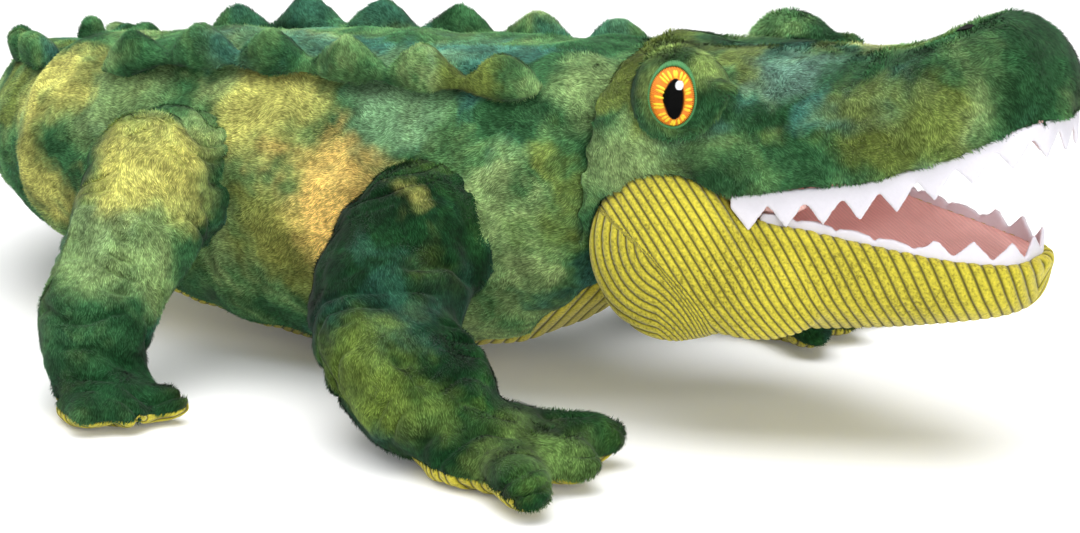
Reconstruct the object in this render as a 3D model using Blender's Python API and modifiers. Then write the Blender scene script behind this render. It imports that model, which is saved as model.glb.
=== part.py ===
"""Plush crocodile, built from its separate cloth covers, linings, trims and fillings.

Metres, +Z up, +X towards the snout, +Y to the animal's left. The shapes are laid out from
the point on the floor below the jaw's hinge line, and the finished toy is then centred over
the origin, so that it stands on Z = 0.
"""

import math

import bmesh
import bpy
from mathutils import Matrix, Vector

# Cloth and sewing
COVER_THICKNESS = 0.0022
LINING_THICKNESS = 0.0020
FELT_THICKNESS = 0.0014
SOLE_THICKNESS = 0.0024
GAP = 0.0003
CUT_OVERRUN = 0.0300
END_DRAW = 3
LOBE_END_SHARE = 0.45
FOOT_END_SHARE = 0.85

# Torso: length runs from the jaw's hinge line to the tail's joint
TORSO_LENGTH = 0.2450
TORSO_HEIGHT = 0.1160
TORSO_HALF_WIDTH = 0.0580
TORSO_SQUARENESS = 2.6
# along, top, bottom and half width, from the neck to the tail
TORSO_SHARES = (
    (0.00, 1.09, 0.40, 0.80),
    (0.12, 1.07, 0.36, 0.82),
    (0.24, 1.02, 0.18, 0.91),
    (0.41, 1.00, 0.04, 0.99),
    (0.61, 0.98, -0.016, 1.02),
    (0.80, 0.965, 0.01, 0.95),
    (0.93, 0.925, 0.150, 0.74),
    (1.06, 0.885, 0.200, 0.655),
    (1.24, 0.88, 0.21, 0.65),
)
# Height of the seam between flank cover and belly panel, along and up
BELLY_SEAM_SHARES = (
    (0.00, 0.50), (0.14, 0.40), (0.27, 0.18), (0.45, 0.085),
    (0.62, 0.070), (0.80, 0.110), (0.95, 0.195), (1.24, 0.300),
)

# Neck: a ball on the torso that the head's cover and filling turn on
NECK_BEHIND = 0.0700
NECK_HEIGHT = 0.0840
NECK_RADIUS = 0.0600
NECK_WAD_INNER = 0.0400
NECK_WAD_ANGLE = math.radians(20)
NECK_HOLE_ANGLE = math.radians(34)
NECK_SPREAD = math.radians(70)
BALL_SEGMENTS = 20

# Jaw: a round cheek about the hinge line, and a tapered lower jaw in front of it
HINGE_HEIGHT = 0.0630
CHEEK_RADIUS = 0.0305
CHEEK_HALF_WIDTH = 0.0530
CHEEK_ROUNDNESS = 8.0
CHEEK_SEGMENTS = 24
JAW_LENGTH = 0.1110
JAW_HALF_WIDTH = 0.0440
JAW_THICKNESS = 0.0440
JAW_OPEN = math.radians(12)
JAW_CLOSE = math.radians(7)
# along, top, bottom (from the hinge height, in jaw thicknesses) and half width
JAW_SHARES = (
    (0.00, 0.42, -0.62, 0.98),
    (0.20, 0.42, -0.63, 0.98),
    (0.38, 0.46, -0.58, 0.88),
    (0.56, 0.42, -0.52, 0.77),
    (0.74, 0.34, -0.43, 0.66),
    (0.90, 0.26, -0.34, 0.53),
    (1.00, 0.18, -0.25, 0.33),
)
# Line of the lower lip, along and above the hinge
LOWER_LIP_SHARES = (
    (-0.40, 1.20), (0.165, 0.46), (0.23, 0.30), (0.40, 0.24), (0.60, 0.16), (0.80, 0.09), (1.20, 0.01),
)

# Head: length runs from the hinge line to the tip of the snout
HEAD_LENGTH = 0.1185
HEAD_HEIGHT = 0.1480
HEAD_HALF_WIDTH = 0.0480
HEAD_SQUARENESS = 2.4
HEAD_SPLIT = 0.0100
HEAD_FILLING_LEVEL = 0.0700
# along, top, widest level, bottom and half width
HEAD_SHARES = (
    (-0.40, 0.850, 0.520, 0.260, 1.00),
    (-0.16, 0.870, 0.530, 0.245, 1.02),
    (0.05, 0.862, 0.630, 0.360, 1.00),
    (0.21, 0.855, 0.670, 0.490, 0.94),
    (0.37, 0.860, 0.685, 0.515, 0.82),
    (0.53, 0.880, 0.710, 0.545, 0.74),
    (0.67, 0.945, 0.750, 0.580, 0.70),
    (0.78, 0.995, 0.790, 0.620, 0.66),
    (0.90, 0.960, 0.810, 0.660, 0.57),
    (1.00, 0.860, 0.795, 0.710, 0.34),
)
# Line of the upper lip, along and up
UPPER_LIP_SHARES = (
    (0.14, 0.580), (0.37, 0.608), (0.56, 0.640), (0.75, 0.700), (0.92, 0.768), (1.15, 0.820),
)
MOUTH_BACK = 0.0240

# Felt teeth: a band sewn into each lip, cut into points along its free edge
LIP_PLAN_SHARES = (
    (0.19, 0.905), (0.38, 0.775), (0.56, 0.695), (0.74, 0.640), (0.88, 0.545), (0.965, 0.340), (1.00, 0.00),
)
LOWER_PLAN_SHARES = (
    (0.27, 0.87), (0.40, 0.79), (0.56, 0.70), (0.74, 0.60), (0.88, 0.46), (0.96, 0.28), (0.985, 0.00),
)
UPPER_TEETH_COUNT = 19
UPPER_BAND = 0.0045
UPPER_TOOTH = 0.0080
LOWER_TEETH_COUNT = 15
LOWER_BAND = 0.0030
LOWER_TOOTH = 0.0060
LIP_INSET = 0.0018
LIP_CLEARANCE = 0.0007

# Brows and embroidered eyes
BROW_FORWARD = 0.0030
BROW_OUT = 0.0385
BROW_HEIGHT = 0.1140
BROW_SIZE = (0.0190, 0.0140, 0.0180)
EYE_WIDTH = 0.0160
EYE_HEIGHT = 0.0190
PUPIL_WIDTH = 0.0062
PUPIL_HEIGHT = 0.0126
GLINT_SIZE = 0.0034
GLINT_OFFSET = 0.0038
EYE_TURN = math.radians(14)
STITCH_HEIGHT = 0.0006
NOSTRIL_FORWARD = 0.0875
NOSTRIL_OUT = 0.0130
NOSTRIL_LENGTH = 0.0056
NOSTRIL_WIDTH = 0.0036

# Tail: bends to the animal's left and runs out to a blunt point
TAIL_HEIGHT = 0.0625
TAIL_BALL_RADIUS = 0.0465
TAIL_LENGTH = 0.2100
TAIL_TURN = math.radians(118)
TAIL_TURN_POWER = 0.80
TAIL_RADIUS = 0.0400
TAIL_POINT_RADIUS = 0.0070
TAIL_TAPER_POWER = 1.45
TAIL_DROP = 0.0140
TAIL_START = 0.0170
TAIL_SPLIT = 0.0800
TAIL_SPLIT_INSET = 0.0030
TAIL_STEPS = 40

# Rows of padded points along the back and tail
ROW_PITCH = 0.0315
ROW_PEAK = 0.0140
ROW_VALLEY = 0.0040
ROW_HALF_THICKNESS = 0.0060
ROW_DEPTH = 0.0080
ROW_LEAN = math.radians(14)
ROW_OUT_FRONT = 0.0370
ROW_OUT_REAR = 0.0290
ROW_FRONT = 0.0500
BACK_POINTS = 6
TAIL_POINTS = 3
TIP_POINTS = 4
TAIL_ROW_ANGLE = math.radians(32)
TAIL_ROW_SCALE = 0.90
TAIL_PITCH_SHARE = 0.68
TIP_ROW_SCALE = 0.85
STEPS_PER_POINT = 4

# Legs: a padded lobe that turns on the flank, a limb, and a foot with three toes
LEG_SEGMENTS = 16
FRONT_LEG = {
    "hub": (-0.0840, 0.0500, 0.0600),
    "lobe_radius": 0.0268,
    "lobe_out": 0.0250,
    "path": ((-0.0830, 0.0620, 0.0600), (-0.0850, 0.0800, 0.0450), (-0.0770, 0.0920, 0.0310),
             (-0.0560, 0.0980, 0.0235), (-0.0370, 0.0980, 0.0135)),
    "radii": (0.0265, 0.0270, 0.0262, 0.0240, 0.0200),
    "foot": (-0.0330, 0.0970, 0.0080),
    "foot_size": (0.0235, 0.0255, 0.0165),
    "toes": ((0.0020, 0.0650), (0.0085, 0.0960), (0.0075, 0.1350)),
    "toe_radius": 0.0116,
}
REAR_LEG = {
    "hub": (-0.1900, 0.0480, 0.0660),
    "lobe_radius": 0.0275,
    "lobe_out": 0.0220,
    "path": ((-0.1895, 0.0600, 0.0650), (-0.1890, 0.0800, 0.0520), (-0.1890, 0.0980, 0.0350),
             (-0.1830, 0.1090, 0.0220), (-0.1760, 0.1130, 0.0115)),
    "radii": (0.0250, 0.0250, 0.0215, 0.0195, 0.0160),
    "foot": (-0.1720, 0.1140, 0.0080),
    "foot_size": (0.0210, 0.0200, 0.0125),
    "toes": ((-0.1410, 0.1040), (-0.1480, 0.1260), (-0.1640, 0.1390)),
    "toe_radius": 0.0095,
}
TOE_FLATNESS = 0.85
TOE_ROOT_SHARE = 0.10
HUB_SINK = 0.0060

OLIVE = (0.110, 0.160, 0.045)
GREEN = (0.060, 0.150, 0.060)
DARK_GREEN = (0.022, 0.085, 0.035)
CORD_YELLOW = (0.480, 0.430, 0.060)
PINK = (0.760, 0.340, 0.300)
FELT_WHITE = (0.850, 0.850, 0.850)
FIBRE_WHITE = (0.780, 0.780, 0.760)
ORANGE = (0.850, 0.330, 0.010)
THREAD_BLACK = (0.008, 0.008, 0.008)
CLOTH_ROUGHNESS = 0.9
THREAD_ROUGHNESS = 0.45

for leftover in list(bpy.data.objects):
    bpy.data.objects.remove(leftover, do_unlink=True)

parts = bpy.data.collections.new("plush_crocodile")
cutters = bpy.data.collections.new("cutters")
bpy.context.scene.collection.children.link(parts)
bpy.context.scene.collection.children.link(cutters)


# Objects, materials and modifiers

def joint(name, place, parent=None):
    """An empty on a joint's axis."""
    empty = bpy.data.objects.new(name, None)
    empty.empty_display_size = TORSO_HALF_WIDTH
    parts.objects.link(empty)
    empty.location = place
    if parent is not None:
        empty.location = Vector(place) - parent.matrix_world.translation
        empty.parent = parent
    bpy.context.view_layer.update()
    return empty


root = joint("crocodile", (0, 0, 0))


def as_object(name, mesh):
    """An object made from a bmesh, kept with the cutters until it is finished as a part."""
    bmesh.ops.recalc_face_normals(mesh, faces=mesh.faces)
    data = bpy.data.meshes.new(name)
    mesh.to_mesh(data)
    mesh.free()
    obj = bpy.data.objects.new(name, data)
    obj.display_type = "WIRE"
    obj.hide_render = True
    obj.parent = root
    cutters.objects.link(obj)
    return obj


def subdivide(obj):
    """One level of Subdivision Surface."""
    modifier = obj.modifiers.new("soften", "SUBSURF")
    modifier.levels = 1
    modifier.render_levels = 1


def cut(obj, *tools, operation="DIFFERENCE"):
    """Cut an object with others, or join or intersect it with them.

    The exact solver leaves open edges where the many thin covers meet, so this is the manifold one.
    """
    for tool in tools:
        modifier = obj.modifiers.new(tool.name, "BOOLEAN")
        modifier.operation = operation
        modifier.solver = "MANIFOLD"
        modifier.object = tool
    return obj


def finish(obj, colour, roughness, body):
    """Make an object a part: its material, its collection and the empty that it turns with."""
    material = bpy.data.materials.new(obj.name)
    material.use_nodes = True
    shader = material.node_tree.nodes["Principled BSDF"]
    shader.inputs["Base Color"].default_value = (*colour, 1.0)
    shader.inputs["Roughness"].default_value = roughness
    shader.inputs["Metallic"].default_value = 0.0
    obj.data.materials.clear()
    obj.data.materials.append(material)
    cutters.objects.unlink(obj)
    parts.objects.link(obj)
    obj.display_type = "TEXTURED"
    obj.hide_render = False
    obj.data.shade_smooth()
    obj.parent = body
    obj.matrix_parent_inverse = body.matrix_world.inverted()
    return obj


# Shapes

def smooth_value(table, along, column):
    """A column of a table at a place along it, on a curve that passes through its rows."""
    places = [row[0] for row in table]
    index = max(0, min(len(table) - 2, sum(1 for place in places if place <= along) - 1))
    near = [table[max(0, min(len(table) - 1, index + step))] for step in (-1, 0, 1, 2)]
    span = near[2][0] - near[1][0]
    part = max(0.0, min(1.0, (along - near[1][0]) / span))
    slopes = []
    for before, after in ((near[0], near[2]), (near[1], near[3])):
        slopes.append((after[column] - before[column]) / (after[0] - before[0]) * span)
    start, end = near[1][column], near[2][column]
    square, cube = part ** 2, part ** 3
    return ((2 * cube - 3 * square + 1) * start + (cube - 2 * square + part) * slopes[0]
            + (3 * square - 2 * cube) * end + (cube - square) * slopes[1])


def section(centre, across, upward, half_width, rise, drop, count, squareness):
    """A soft cross-section: an ellipse drawn out towards a box by its squareness."""
    points = []
    for step in range(count):
        angle = 2 * math.pi * step / count
        side = math.copysign(abs(math.cos(angle)) ** (2 / squareness), math.cos(angle))
        level = math.copysign(abs(math.sin(angle)) ** (2 / squareness), math.sin(angle))
        reach = rise if level > 0 else drop
        points.append(centre + across * (half_width * side) + upward * (reach * level))
    return points


def relaxed(rings):
    """The rings' points where one level of softening would move them."""
    settled = []
    for ring in rings:
        count = len(ring)
        settled.append([ring[step] * 0.75 + (ring[step - 1] + ring[(step + 1) % count]) * 0.125
                        for step in range(count)])
    inner = [[point * 0.75 + (before + after) * 0.125 for before, point, after in zip(*three)]
             for three in zip(settled, settled[1:], settled[2:])]
    return [settled[0], *inner, settled[-1]]


def loft(name, rings, soft):
    """A closed form through a cage's rings: softened, or plain with the cage's own count of faces."""
    if not soft:
        rings = relaxed(rings)
    mesh = bmesh.new()
    loops = [[mesh.verts.new(point) for point in ring] for ring in rings]
    for first, second in zip(loops, loops[1:]):
        for step in range(len(first)):
            following = (step + 1) % len(first)
            corners = (first[step], first[following], second[following], second[step])
            if soft:
                mesh.faces.new(corners)
            else:
                mesh.faces.new(corners[:3])
                mesh.faces.new((corners[0], *corners[2:]))
    mesh.faces.new(loops[0])
    mesh.faces.new(loops[-1])
    obj = as_object(name, mesh)
    if soft:
        subdivide(obj)
    return obj


def cage_scale(count):
    """How much wider a cage is drawn so that the softened form has the stated width."""
    return 1 / (0.75 + 0.25 * math.cos(2 * math.pi / count))


def turned(name, profile, centre, axis, segments=BALL_SEGMENTS):
    """A solid of revolution: profile points are (distance along the axis, radius)."""
    mesh = bmesh.new()
    chain = [mesh.verts.new((radius, 0, along)) for along, radius in profile]
    edges = [mesh.edges.new(pair) for pair in zip(chain, chain[1:])]
    bmesh.ops.spin(mesh, geom=chain + edges, angle=2 * math.pi, steps=segments, axis=(0, 0, 1),
                   cent=(0, 0, 0), use_merge=True)
    bmesh.ops.remove_doubles(mesh, verts=mesh.verts, dist=GAP / 10)
    turn = Vector((0, 0, 1)).rotation_difference(Vector(axis)).to_matrix().to_4x4()
    bmesh.ops.transform(mesh, matrix=Matrix.Translation(centre) @ turn, verts=mesh.verts)
    return as_object(name, mesh)


def ellipsoid(name, centre, half_sizes, segments=16, rings=10, turn=None):
    """A sphere scaled along X, Y and Z, and turned if asked."""
    mesh = bmesh.new()
    bmesh.ops.create_uvsphere(mesh, u_segments=segments, v_segments=rings, radius=1)
    place = Matrix.Translation(centre) @ (turn or Matrix.Identity(4)) @ Matrix.Diagonal((*half_sizes, 1))
    bmesh.ops.transform(mesh, matrix=place, verts=mesh.verts)
    return as_object(name, mesh)


def box(name, low, high):
    """A box between two corners."""
    low, high = Vector(low), Vector(high)
    mesh = bmesh.new()
    bmesh.ops.create_cube(mesh, size=1)
    place = Matrix.Translation((low + high) / 2) @ Matrix.Diagonal((*(high - low), 1))
    bmesh.ops.transform(mesh, matrix=place, verts=mesh.verts)
    return as_object(name, mesh)


def prism(name, outline, half_depth):
    """A flat outline in X and Z, drawn out to both sides along Y."""
    mesh = bmesh.new()
    face = mesh.faces.new([mesh.verts.new((along, -half_depth, up)) for along, up in outline])
    grown = bmesh.ops.extrude_face_region(mesh, geom=[face])
    moved = [item for item in grown["geom"] if isinstance(item, bmesh.types.BMVert)]
    bmesh.ops.translate(mesh, verts=moved, vec=(0, 2 * half_depth, 0))
    return as_object(name, mesh)


def socket_radius(radius, segments=BALL_SEGMENTS):
    """Radius of a faceted hollow whose flats stay a gap clear of a ball of this radius."""
    return (radius + GAP) / math.cos(math.pi / segments) ** 2


def ball(name, centre, radius):
    return ellipsoid(name, centre, (radius, radius, radius), BALL_SEGMENTS, BALL_SEGMENTS // 2)


def cap_cutter(name, centre, axis, radius, spread=math.pi / 2, wide=True):
    """What is outside a ball in front of a spread's edge; if not wide, only straight out from it."""
    steps = BALL_SEGMENTS // 4
    outer = radius + CUT_OVERRUN
    rim = outer if wide else radius * math.sin(spread)
    profile = [(outer, 0), (outer, rim)]
    if wide:
        profile.append((radius * math.cos(spread), rim))
    for step in range(steps + 1):
        angle = spread * (1 - step / steps)
        profile.append((radius * math.cos(angle), radius * math.sin(angle)))
    return turned(name, profile, centre, axis)


# Places on the joints

NECK_PLACE = Vector((-NECK_BEHIND, 0, NECK_HEIGHT))
HINGE_PLACE = Vector((0, 0, HINGE_HEIGHT))
TAIL_PLACE = Vector((-TORSO_LENGTH, 0, TAIL_HEIGHT))
FORWARD = Vector((1, 0, 0))
LEFT = Vector((0, 1, 0))
UP = Vector((0, 0, 1))


# Torso

def torso_form(name, grow, soft):
    """The torso's outer form, drawn larger or smaller by an even amount."""
    count = 12
    scale = cage_scale(count)
    rings = []
    for along, top, bottom, width in TORSO_SHARES:
        high, low = TORSO_HEIGHT * top, TORSO_HEIGHT * bottom
        centre = Vector((-TORSO_LENGTH * along, 0, (high + low) / 2))
        reach = ((high - low) / 2 + grow) * scale
        half = (TORSO_HALF_WIDTH * width + grow) * scale
        rings.append(section(centre, LEFT, UP, half, reach, reach, count, TORSO_SQUARENESS))
    return loft(name, rings, soft)


def torso_top(along, out):
    """Height of the torso's surface at a place along it and a distance out from the middle."""
    share = along / TORSO_LENGTH
    high = TORSO_HEIGHT * smooth_value(TORSO_SHARES, share, 1)
    low = TORSO_HEIGHT * smooth_value(TORSO_SHARES, share, 2)
    half = TORSO_HALF_WIDTH * smooth_value(TORSO_SHARES, share, 3)
    level = (1 - min(1, out / half) ** TORSO_SQUARENESS) ** (1 / TORSO_SQUARENESS)
    return (high + low) / 2 + (high - low) / 2 * level


def below_belly_seam(name, lift):
    """Everything below the belly seam, raised by a lift."""
    outline = [(-TORSO_LENGTH * along, TORSO_HEIGHT * up + lift) for along, up in BELLY_SEAM_SHARES]
    rear, front = outline[-1][0], outline[0][0]
    outline += [(rear, -CUT_OVERRUN), (front, -CUT_OVERRUN)]
    return prism(name, outline, TORSO_HALF_WIDTH + CUT_OVERRUN)


# Legs

def side_place(place, side):
    """A place given for the left side, on either side of the toy."""
    return Vector((place[0], place[1] * side, place[2]))


def lobe_form(name, leg, side, radius, gap):
    """The padded lobe that turns about the hub: a flat seat on the flank and a domed outside."""
    out, seat = leg["lobe_out"] + gap, -HUB_SINK - gap
    profile = [(seat, 0), (seat, radius * 0.80), (seat / 2, radius * 0.94)]
    steps = 3
    for step in range(steps + 1):
        angle = math.pi / 2 * step / steps
        profile.append((out * math.sin(angle), radius * math.cos(angle)))
    profile[-1] = (out, 0)
    return turned(name, profile, side_place(leg["hub"], side), LEFT * side, LEG_SEGMENTS)


def limb_form(name, leg, side, grow, soft):
    """The limb between the lobe and the foot."""
    count = 8
    scale = cage_scale(count)
    path = [side_place(place, side) for place in leg["path"]]
    rings = []
    across = FORWARD.copy()
    for index, centre in enumerate(path):
        before, after = path[max(0, index - 1)], path[min(len(path) - 1, index + 1)]
        heading = (after - before).normalized()
        across = (across - heading * across.dot(heading)).normalized()
        radius = (leg["radii"][index] + grow) * scale
        if not soft and index in (0, len(path) - 1):
            radius *= FOOT_END_SHARE if index else LOBE_END_SHARE
            centre = centre + heading * (grow if index else -grow)
        rings.append(section(centre, across, heading.cross(across), radius, radius, radius, count, 2))
    return loft(name, rings, soft)


def toe_forms(name, leg, side, grow):
    """The foot's pad and its three toes."""
    forms = [ellipsoid(name + "_pad", side_place(leg["foot"], side),
                       [size + grow for size in leg["foot_size"]], 12, 6)]
    foot = side_place(leg["foot"], side)
    for index, (forward, out) in enumerate(leg["toes"]):
        radius = leg["toe_radius"] + grow
        tip = side_place((forward, out, leg["toe_radius"] * TOE_FLATNESS), side)
        heel = Vector((foot.x, foot.y, tip.z)).lerp(tip, TOE_ROOT_SHARE)
        heading = (tip - heel).normalized()
        half = (tip - heel).length / 2
        turn = Matrix.Rotation(math.atan2(heading.y, heading.x), 4, "Z")
        forms.append(ellipsoid(f"{name}_toe_{index + 1}", tip - heading * half,
                               (half + grow, radius, radius * TOE_FLATNESS), 8, 6, turn))
    return forms


def leg_solid(name, leg, side):
    """The whole leg as one solid: lobe, limb, pad and toes."""
    solid = limb_form(name, leg, side, 0, True)
    lobe = lobe_form(name + "_lobe", leg, side, leg["lobe_radius"], 0)
    return cut(solid, lobe, *toe_forms(name, leg, side, 0), operation="UNION")


# Head and jaw

def line_points(table, length, height, base, start, end):
    """Points of a lip or seam line, from a table of places along it and their heights."""
    steps = 14
    places = [start + (end - start) * step / steps for step in range(steps + 1)]
    return [(length * place, base + height * smooth_value(table, place, 1)) for place in places]


def upper_lip(forward):
    """Height of the upper lip at a distance in front of the hinge line."""
    return HEAD_HEIGHT * smooth_value(UPPER_LIP_SHARES, forward / HEAD_LENGTH, 1)


def lower_lip(forward):
    """Height of the lower lip at a distance in front of the hinge line."""
    return HINGE_HEIGHT + JAW_THICKNESS * smooth_value(LOWER_LIP_SHARES, forward / JAW_LENGTH, 1)


def below_upper_lip(name, lift):
    """Everything below the upper lip, raised by a lift."""
    points = line_points(UPPER_LIP_SHARES, HEAD_LENGTH, HEAD_HEIGHT, lift,
                         UPPER_LIP_SHARES[0][0], UPPER_LIP_SHARES[-1][0])
    return prism(name, points + [(points[-1][0], 0), (points[0][0], 0)], HEAD_HALF_WIDTH + CUT_OVERRUN)


def above_lower_lip(name, drop):
    """Everything above the lower lip, lowered by a drop."""
    points = line_points(LOWER_LIP_SHARES, JAW_LENGTH, JAW_THICKNESS, HINGE_HEIGHT - drop,
                         LOWER_LIP_SHARES[0][0], LOWER_LIP_SHARES[-1][0])
    high = HEAD_HEIGHT + CUT_OVERRUN
    return prism(name, points + [(points[-1][0], high), (points[0][0], high)],
                 HEAD_HALF_WIDTH + CUT_OVERRUN)


def end_place(length, along, grow, soft):
    """A ring's place; the last ring of a plain form is drawn in, as softening draws in a cover's."""
    return length * along + (END_DRAW * grow if along == 1 and not soft else 0)


def head_form(name, grow, soft):
    """The head and snout's outer form, drawn larger or smaller by an even amount."""
    count = 12
    scale = cage_scale(count)
    rings = []
    for along, top, wide, bottom, width in HEAD_SHARES:
        centre = Vector((end_place(HEAD_LENGTH, along, grow, soft), 0, HEAD_HEIGHT * wide))
        rise = (HEAD_HEIGHT * (top - wide) + grow) * scale
        drop = (HEAD_HEIGHT * (wide - bottom) + grow) * scale
        half = (HEAD_HALF_WIDTH * width + grow) * scale
        rings.append(section(centre, LEFT, UP, half, rise, drop, count, HEAD_SQUARENESS))
    return loft(name, rings, soft)


def jaw_form(name, grow, soft):
    """The lower jaw in front of the cheeks."""
    count = 12
    scale = cage_scale(count)
    rings = []
    for along, top, bottom, width in JAW_SHARES:
        high, low = JAW_THICKNESS * top, JAW_THICKNESS * bottom
        centre = Vector((end_place(JAW_LENGTH, along, grow, soft), 0, HINGE_HEIGHT + (high + low) / 2))
        reach = ((high - low) / 2 + grow) * scale
        half = (JAW_HALF_WIDTH * width + grow) * scale
        rings.append(section(centre, LEFT, UP, half, reach, reach, count, HEAD_SQUARENESS))
    return loft(name, rings, soft)


def cheek_form(name, grow):
    """The round cheeks and throat, turned about the hinge line."""
    radius, half = CHEEK_RADIUS + grow, CHEEK_HALF_WIDTH + grow
    profile = []
    for share in (-1, -0.97, -0.88, -0.66, 0.66, 0.88, 0.97, 1):
        profile.append((half * share, radius * math.sqrt(1 - abs(share) ** CHEEK_ROUNDNESS)))
    return turned(name, profile, HINGE_PLACE, LEFT, CHEEK_SEGMENTS)


def neck_sweep(name, grow):
    """The room that the neck's ball needs in the jaw as the jaw opens and closes."""
    mesh = bmesh.new()
    radius = socket_radius(NECK_RADIUS) + grow
    for angle in (-JAW_OPEN, 0, JAW_CLOSE):
        turn = Matrix.Rotation(angle, 4, "Y")
        place = HINGE_PLACE + turn @ (NECK_PLACE - HINGE_PLACE)
        bmesh.ops.create_uvsphere(mesh, u_segments=BALL_SEGMENTS, v_segments=BALL_SEGMENTS // 2,
                                  radius=radius, matrix=Matrix.Translation(place))
    bmesh.ops.delete(mesh, geom=list(mesh.edges), context="EDGES_FACES")
    bmesh.ops.convex_hull(mesh, input=mesh.verts)
    bmesh.ops.delete(mesh, geom=[vert for vert in mesh.verts if not vert.link_faces], context="VERTS")
    return as_object(name, mesh)


def smooth_path(points, count):
    """Evenly spaced points on a smooth curve through a few points."""
    fine, pieces = [], 24
    for index in range(len(points) - 1):
        near = [points[max(0, min(len(points) - 1, index + step))] for step in (-1, 0, 1, 2)]
        for step in range(pieces):
            part = step / pieces
            fine.append(0.5 * (2 * near[1] + (near[2] - near[0]) * part
                               + (2 * near[0] - 5 * near[1] + 4 * near[2] - near[3]) * part ** 2
                               + (3 * near[1] - near[0] - 3 * near[2] + near[3]) * part ** 3))
    fine.append(points[-1])
    lengths = [0.0]
    for first, second in zip(fine, fine[1:]):
        lengths.append(lengths[-1] + (second - first).length)
    even, index = [], 0
    for step in range(count + 1):
        wanted = lengths[-1] * step / count
        while index < len(fine) - 2 and lengths[index + 1] < wanted:
            index += 1
        part = (wanted - lengths[index]) / (lengths[index + 1] - lengths[index])
        even.append(fine[index].lerp(fine[index + 1], part))
    return even


def felt_teeth(name, plan, length, half_width, lip, heading, count, band, tooth):
    """A felt band that follows a lip round the mouth, its free edge cut into points."""
    side = [Vector((length * along, half_width * out - LIP_INSET, 0)) for along, out in plan[:-1]]
    tip = Vector((length * plan[-1][0] - LIP_INSET, 0, 0))
    other = [Vector((point.x, -point.y, 0)) for point in reversed(side)]
    mesh = bmesh.new()
    columns = []
    for step, place in enumerate(smooth_path(side + [tip] + other, 2 * count)):
        sewn = lip(place.x) + heading * LIP_CLEARANCE
        reach = band + tooth if step % 2 else band
        columns.append([mesh.verts.new((place.x, place.y, sewn)),
                        mesh.verts.new((place.x, place.y, sewn + heading * reach))])
    for first, second in zip(columns, columns[1:]):
        mesh.faces.new((first[0], second[0], second[1], first[1]))
    obj = as_object(name, mesh)
    modifier = obj.modifiers.new("felt", "SOLIDIFY")
    modifier.thickness = FELT_THICKNESS
    modifier.offset = 0
    return obj


def eye_axis(side):
    """The direction that an eye looks in."""
    return Vector((math.sin(EYE_TURN), side * math.cos(EYE_TURN), math.sin(EYE_TURN) / 2)).normalized()


def brow_form(name, side, grow):
    """The padded mound over an eye."""
    centre = (BROW_FORWARD, side * BROW_OUT, BROW_HEIGHT)
    return ellipsoid(name, centre, [size + grow for size in BROW_SIZE], 16, 10)


def eye_patch(name, side, level, width, height, offset, colour, roughness):
    """A layer of satin stitch that lies on the brow, cut to an oval."""
    outward = eye_axis(side)
    across = UP.cross(outward).normalized()
    upward = outward.cross(across)
    centre = Vector((BROW_FORWARD, side * BROW_OUT, BROW_HEIGHT)) + across * offset[0] + upward * offset[1]
    mesh = bmesh.new()
    bmesh.ops.create_cone(mesh, cap_ends=True, segments=20, radius1=1, radius2=1, depth=1)
    depth = BROW_SIZE[1] * 2
    axes = Matrix((across * width / 2, upward * height / 2, outward * depth)).transposed().to_4x4()
    place = Matrix.Translation(centre + outward * depth / 2) @ axes
    bmesh.ops.transform(mesh, matrix=place, verts=mesh.verts)
    patch = as_object(name, mesh)
    base = level * (STITCH_HEIGHT + GAP) + GAP
    cut(patch, brow_form(name + "_under", side, base))
    cut(patch, brow_form(name + "_over", side, base + STITCH_HEIGHT), operation="INTERSECT")
    return finish(patch, colour, roughness, head)


body = root
neck = joint("neck_turn", NECK_PLACE, body)
head = joint("neck_nod", NECK_PLACE, neck)
jaw = joint("jaw_hinge", HINGE_PLACE, head)

# Torso cover, belly panel, filling and neck wad
filling_inset = COVER_THICKNESS + GAP
neck_hole_radius = NECK_RADIUS * math.sin(NECK_HOLE_ANGLE)
neck_cap = cap_cutter("neck_cap", NECK_PLACE, FORWARD, NECK_RADIUS, NECK_SPREAD)
neck_hole = cap_cutter("neck_hole", NECK_PLACE, FORWARD, NECK_WAD_INNER,
                       math.asin(neck_hole_radius / NECK_WAD_INNER), False)
inner_torso = torso_form("torso_hollow", -COVER_THICKNESS, False)
cut(inner_torso, cap_cutter("torso_hollow_rear", TAIL_PLACE, -FORWARD, TAIL_BALL_RADIUS - COVER_THICKNESS),
    cap_cutter("torso_hollow_front", NECK_PLACE, FORWARD, NECK_RADIUS - COVER_THICKNESS, NECK_SPREAD))
tail_cap = cap_cutter("tail_cap", TAIL_PLACE, -FORWARD, TAIL_BALL_RADIUS)
floor = box("floor", (-TORSO_LENGTH * 2, -TORSO_LENGTH, -CUT_OVERRUN), (TORSO_LENGTH, TORSO_LENGTH, 0))
lobes = []
for leg in (FRONT_LEG, REAR_LEG):
    seat_radius = socket_radius(leg["lobe_radius"], LEG_SEGMENTS)
    lobes += [lobe_form("lobe_seat", leg, side, seat_radius, GAP) for side in (1, -1)]

body_cover = torso_form("body_cover", 0, True)
cut(body_cover, inner_torso, neck_cap, neck_hole, tail_cap, below_belly_seam("belly_side", GAP), *lobes)
finish(body_cover, GREEN, CLOTH_ROUGHNESS, body)

belly_panel = torso_form("belly_panel", 0, True)
cut(belly_panel, inner_torso, neck_cap, tail_cap, floor)
cut(belly_panel, below_belly_seam("belly_below", 0), operation="INTERSECT")
finish(belly_panel, CORD_YELLOW, CLOTH_ROUGHNESS, body)

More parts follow.
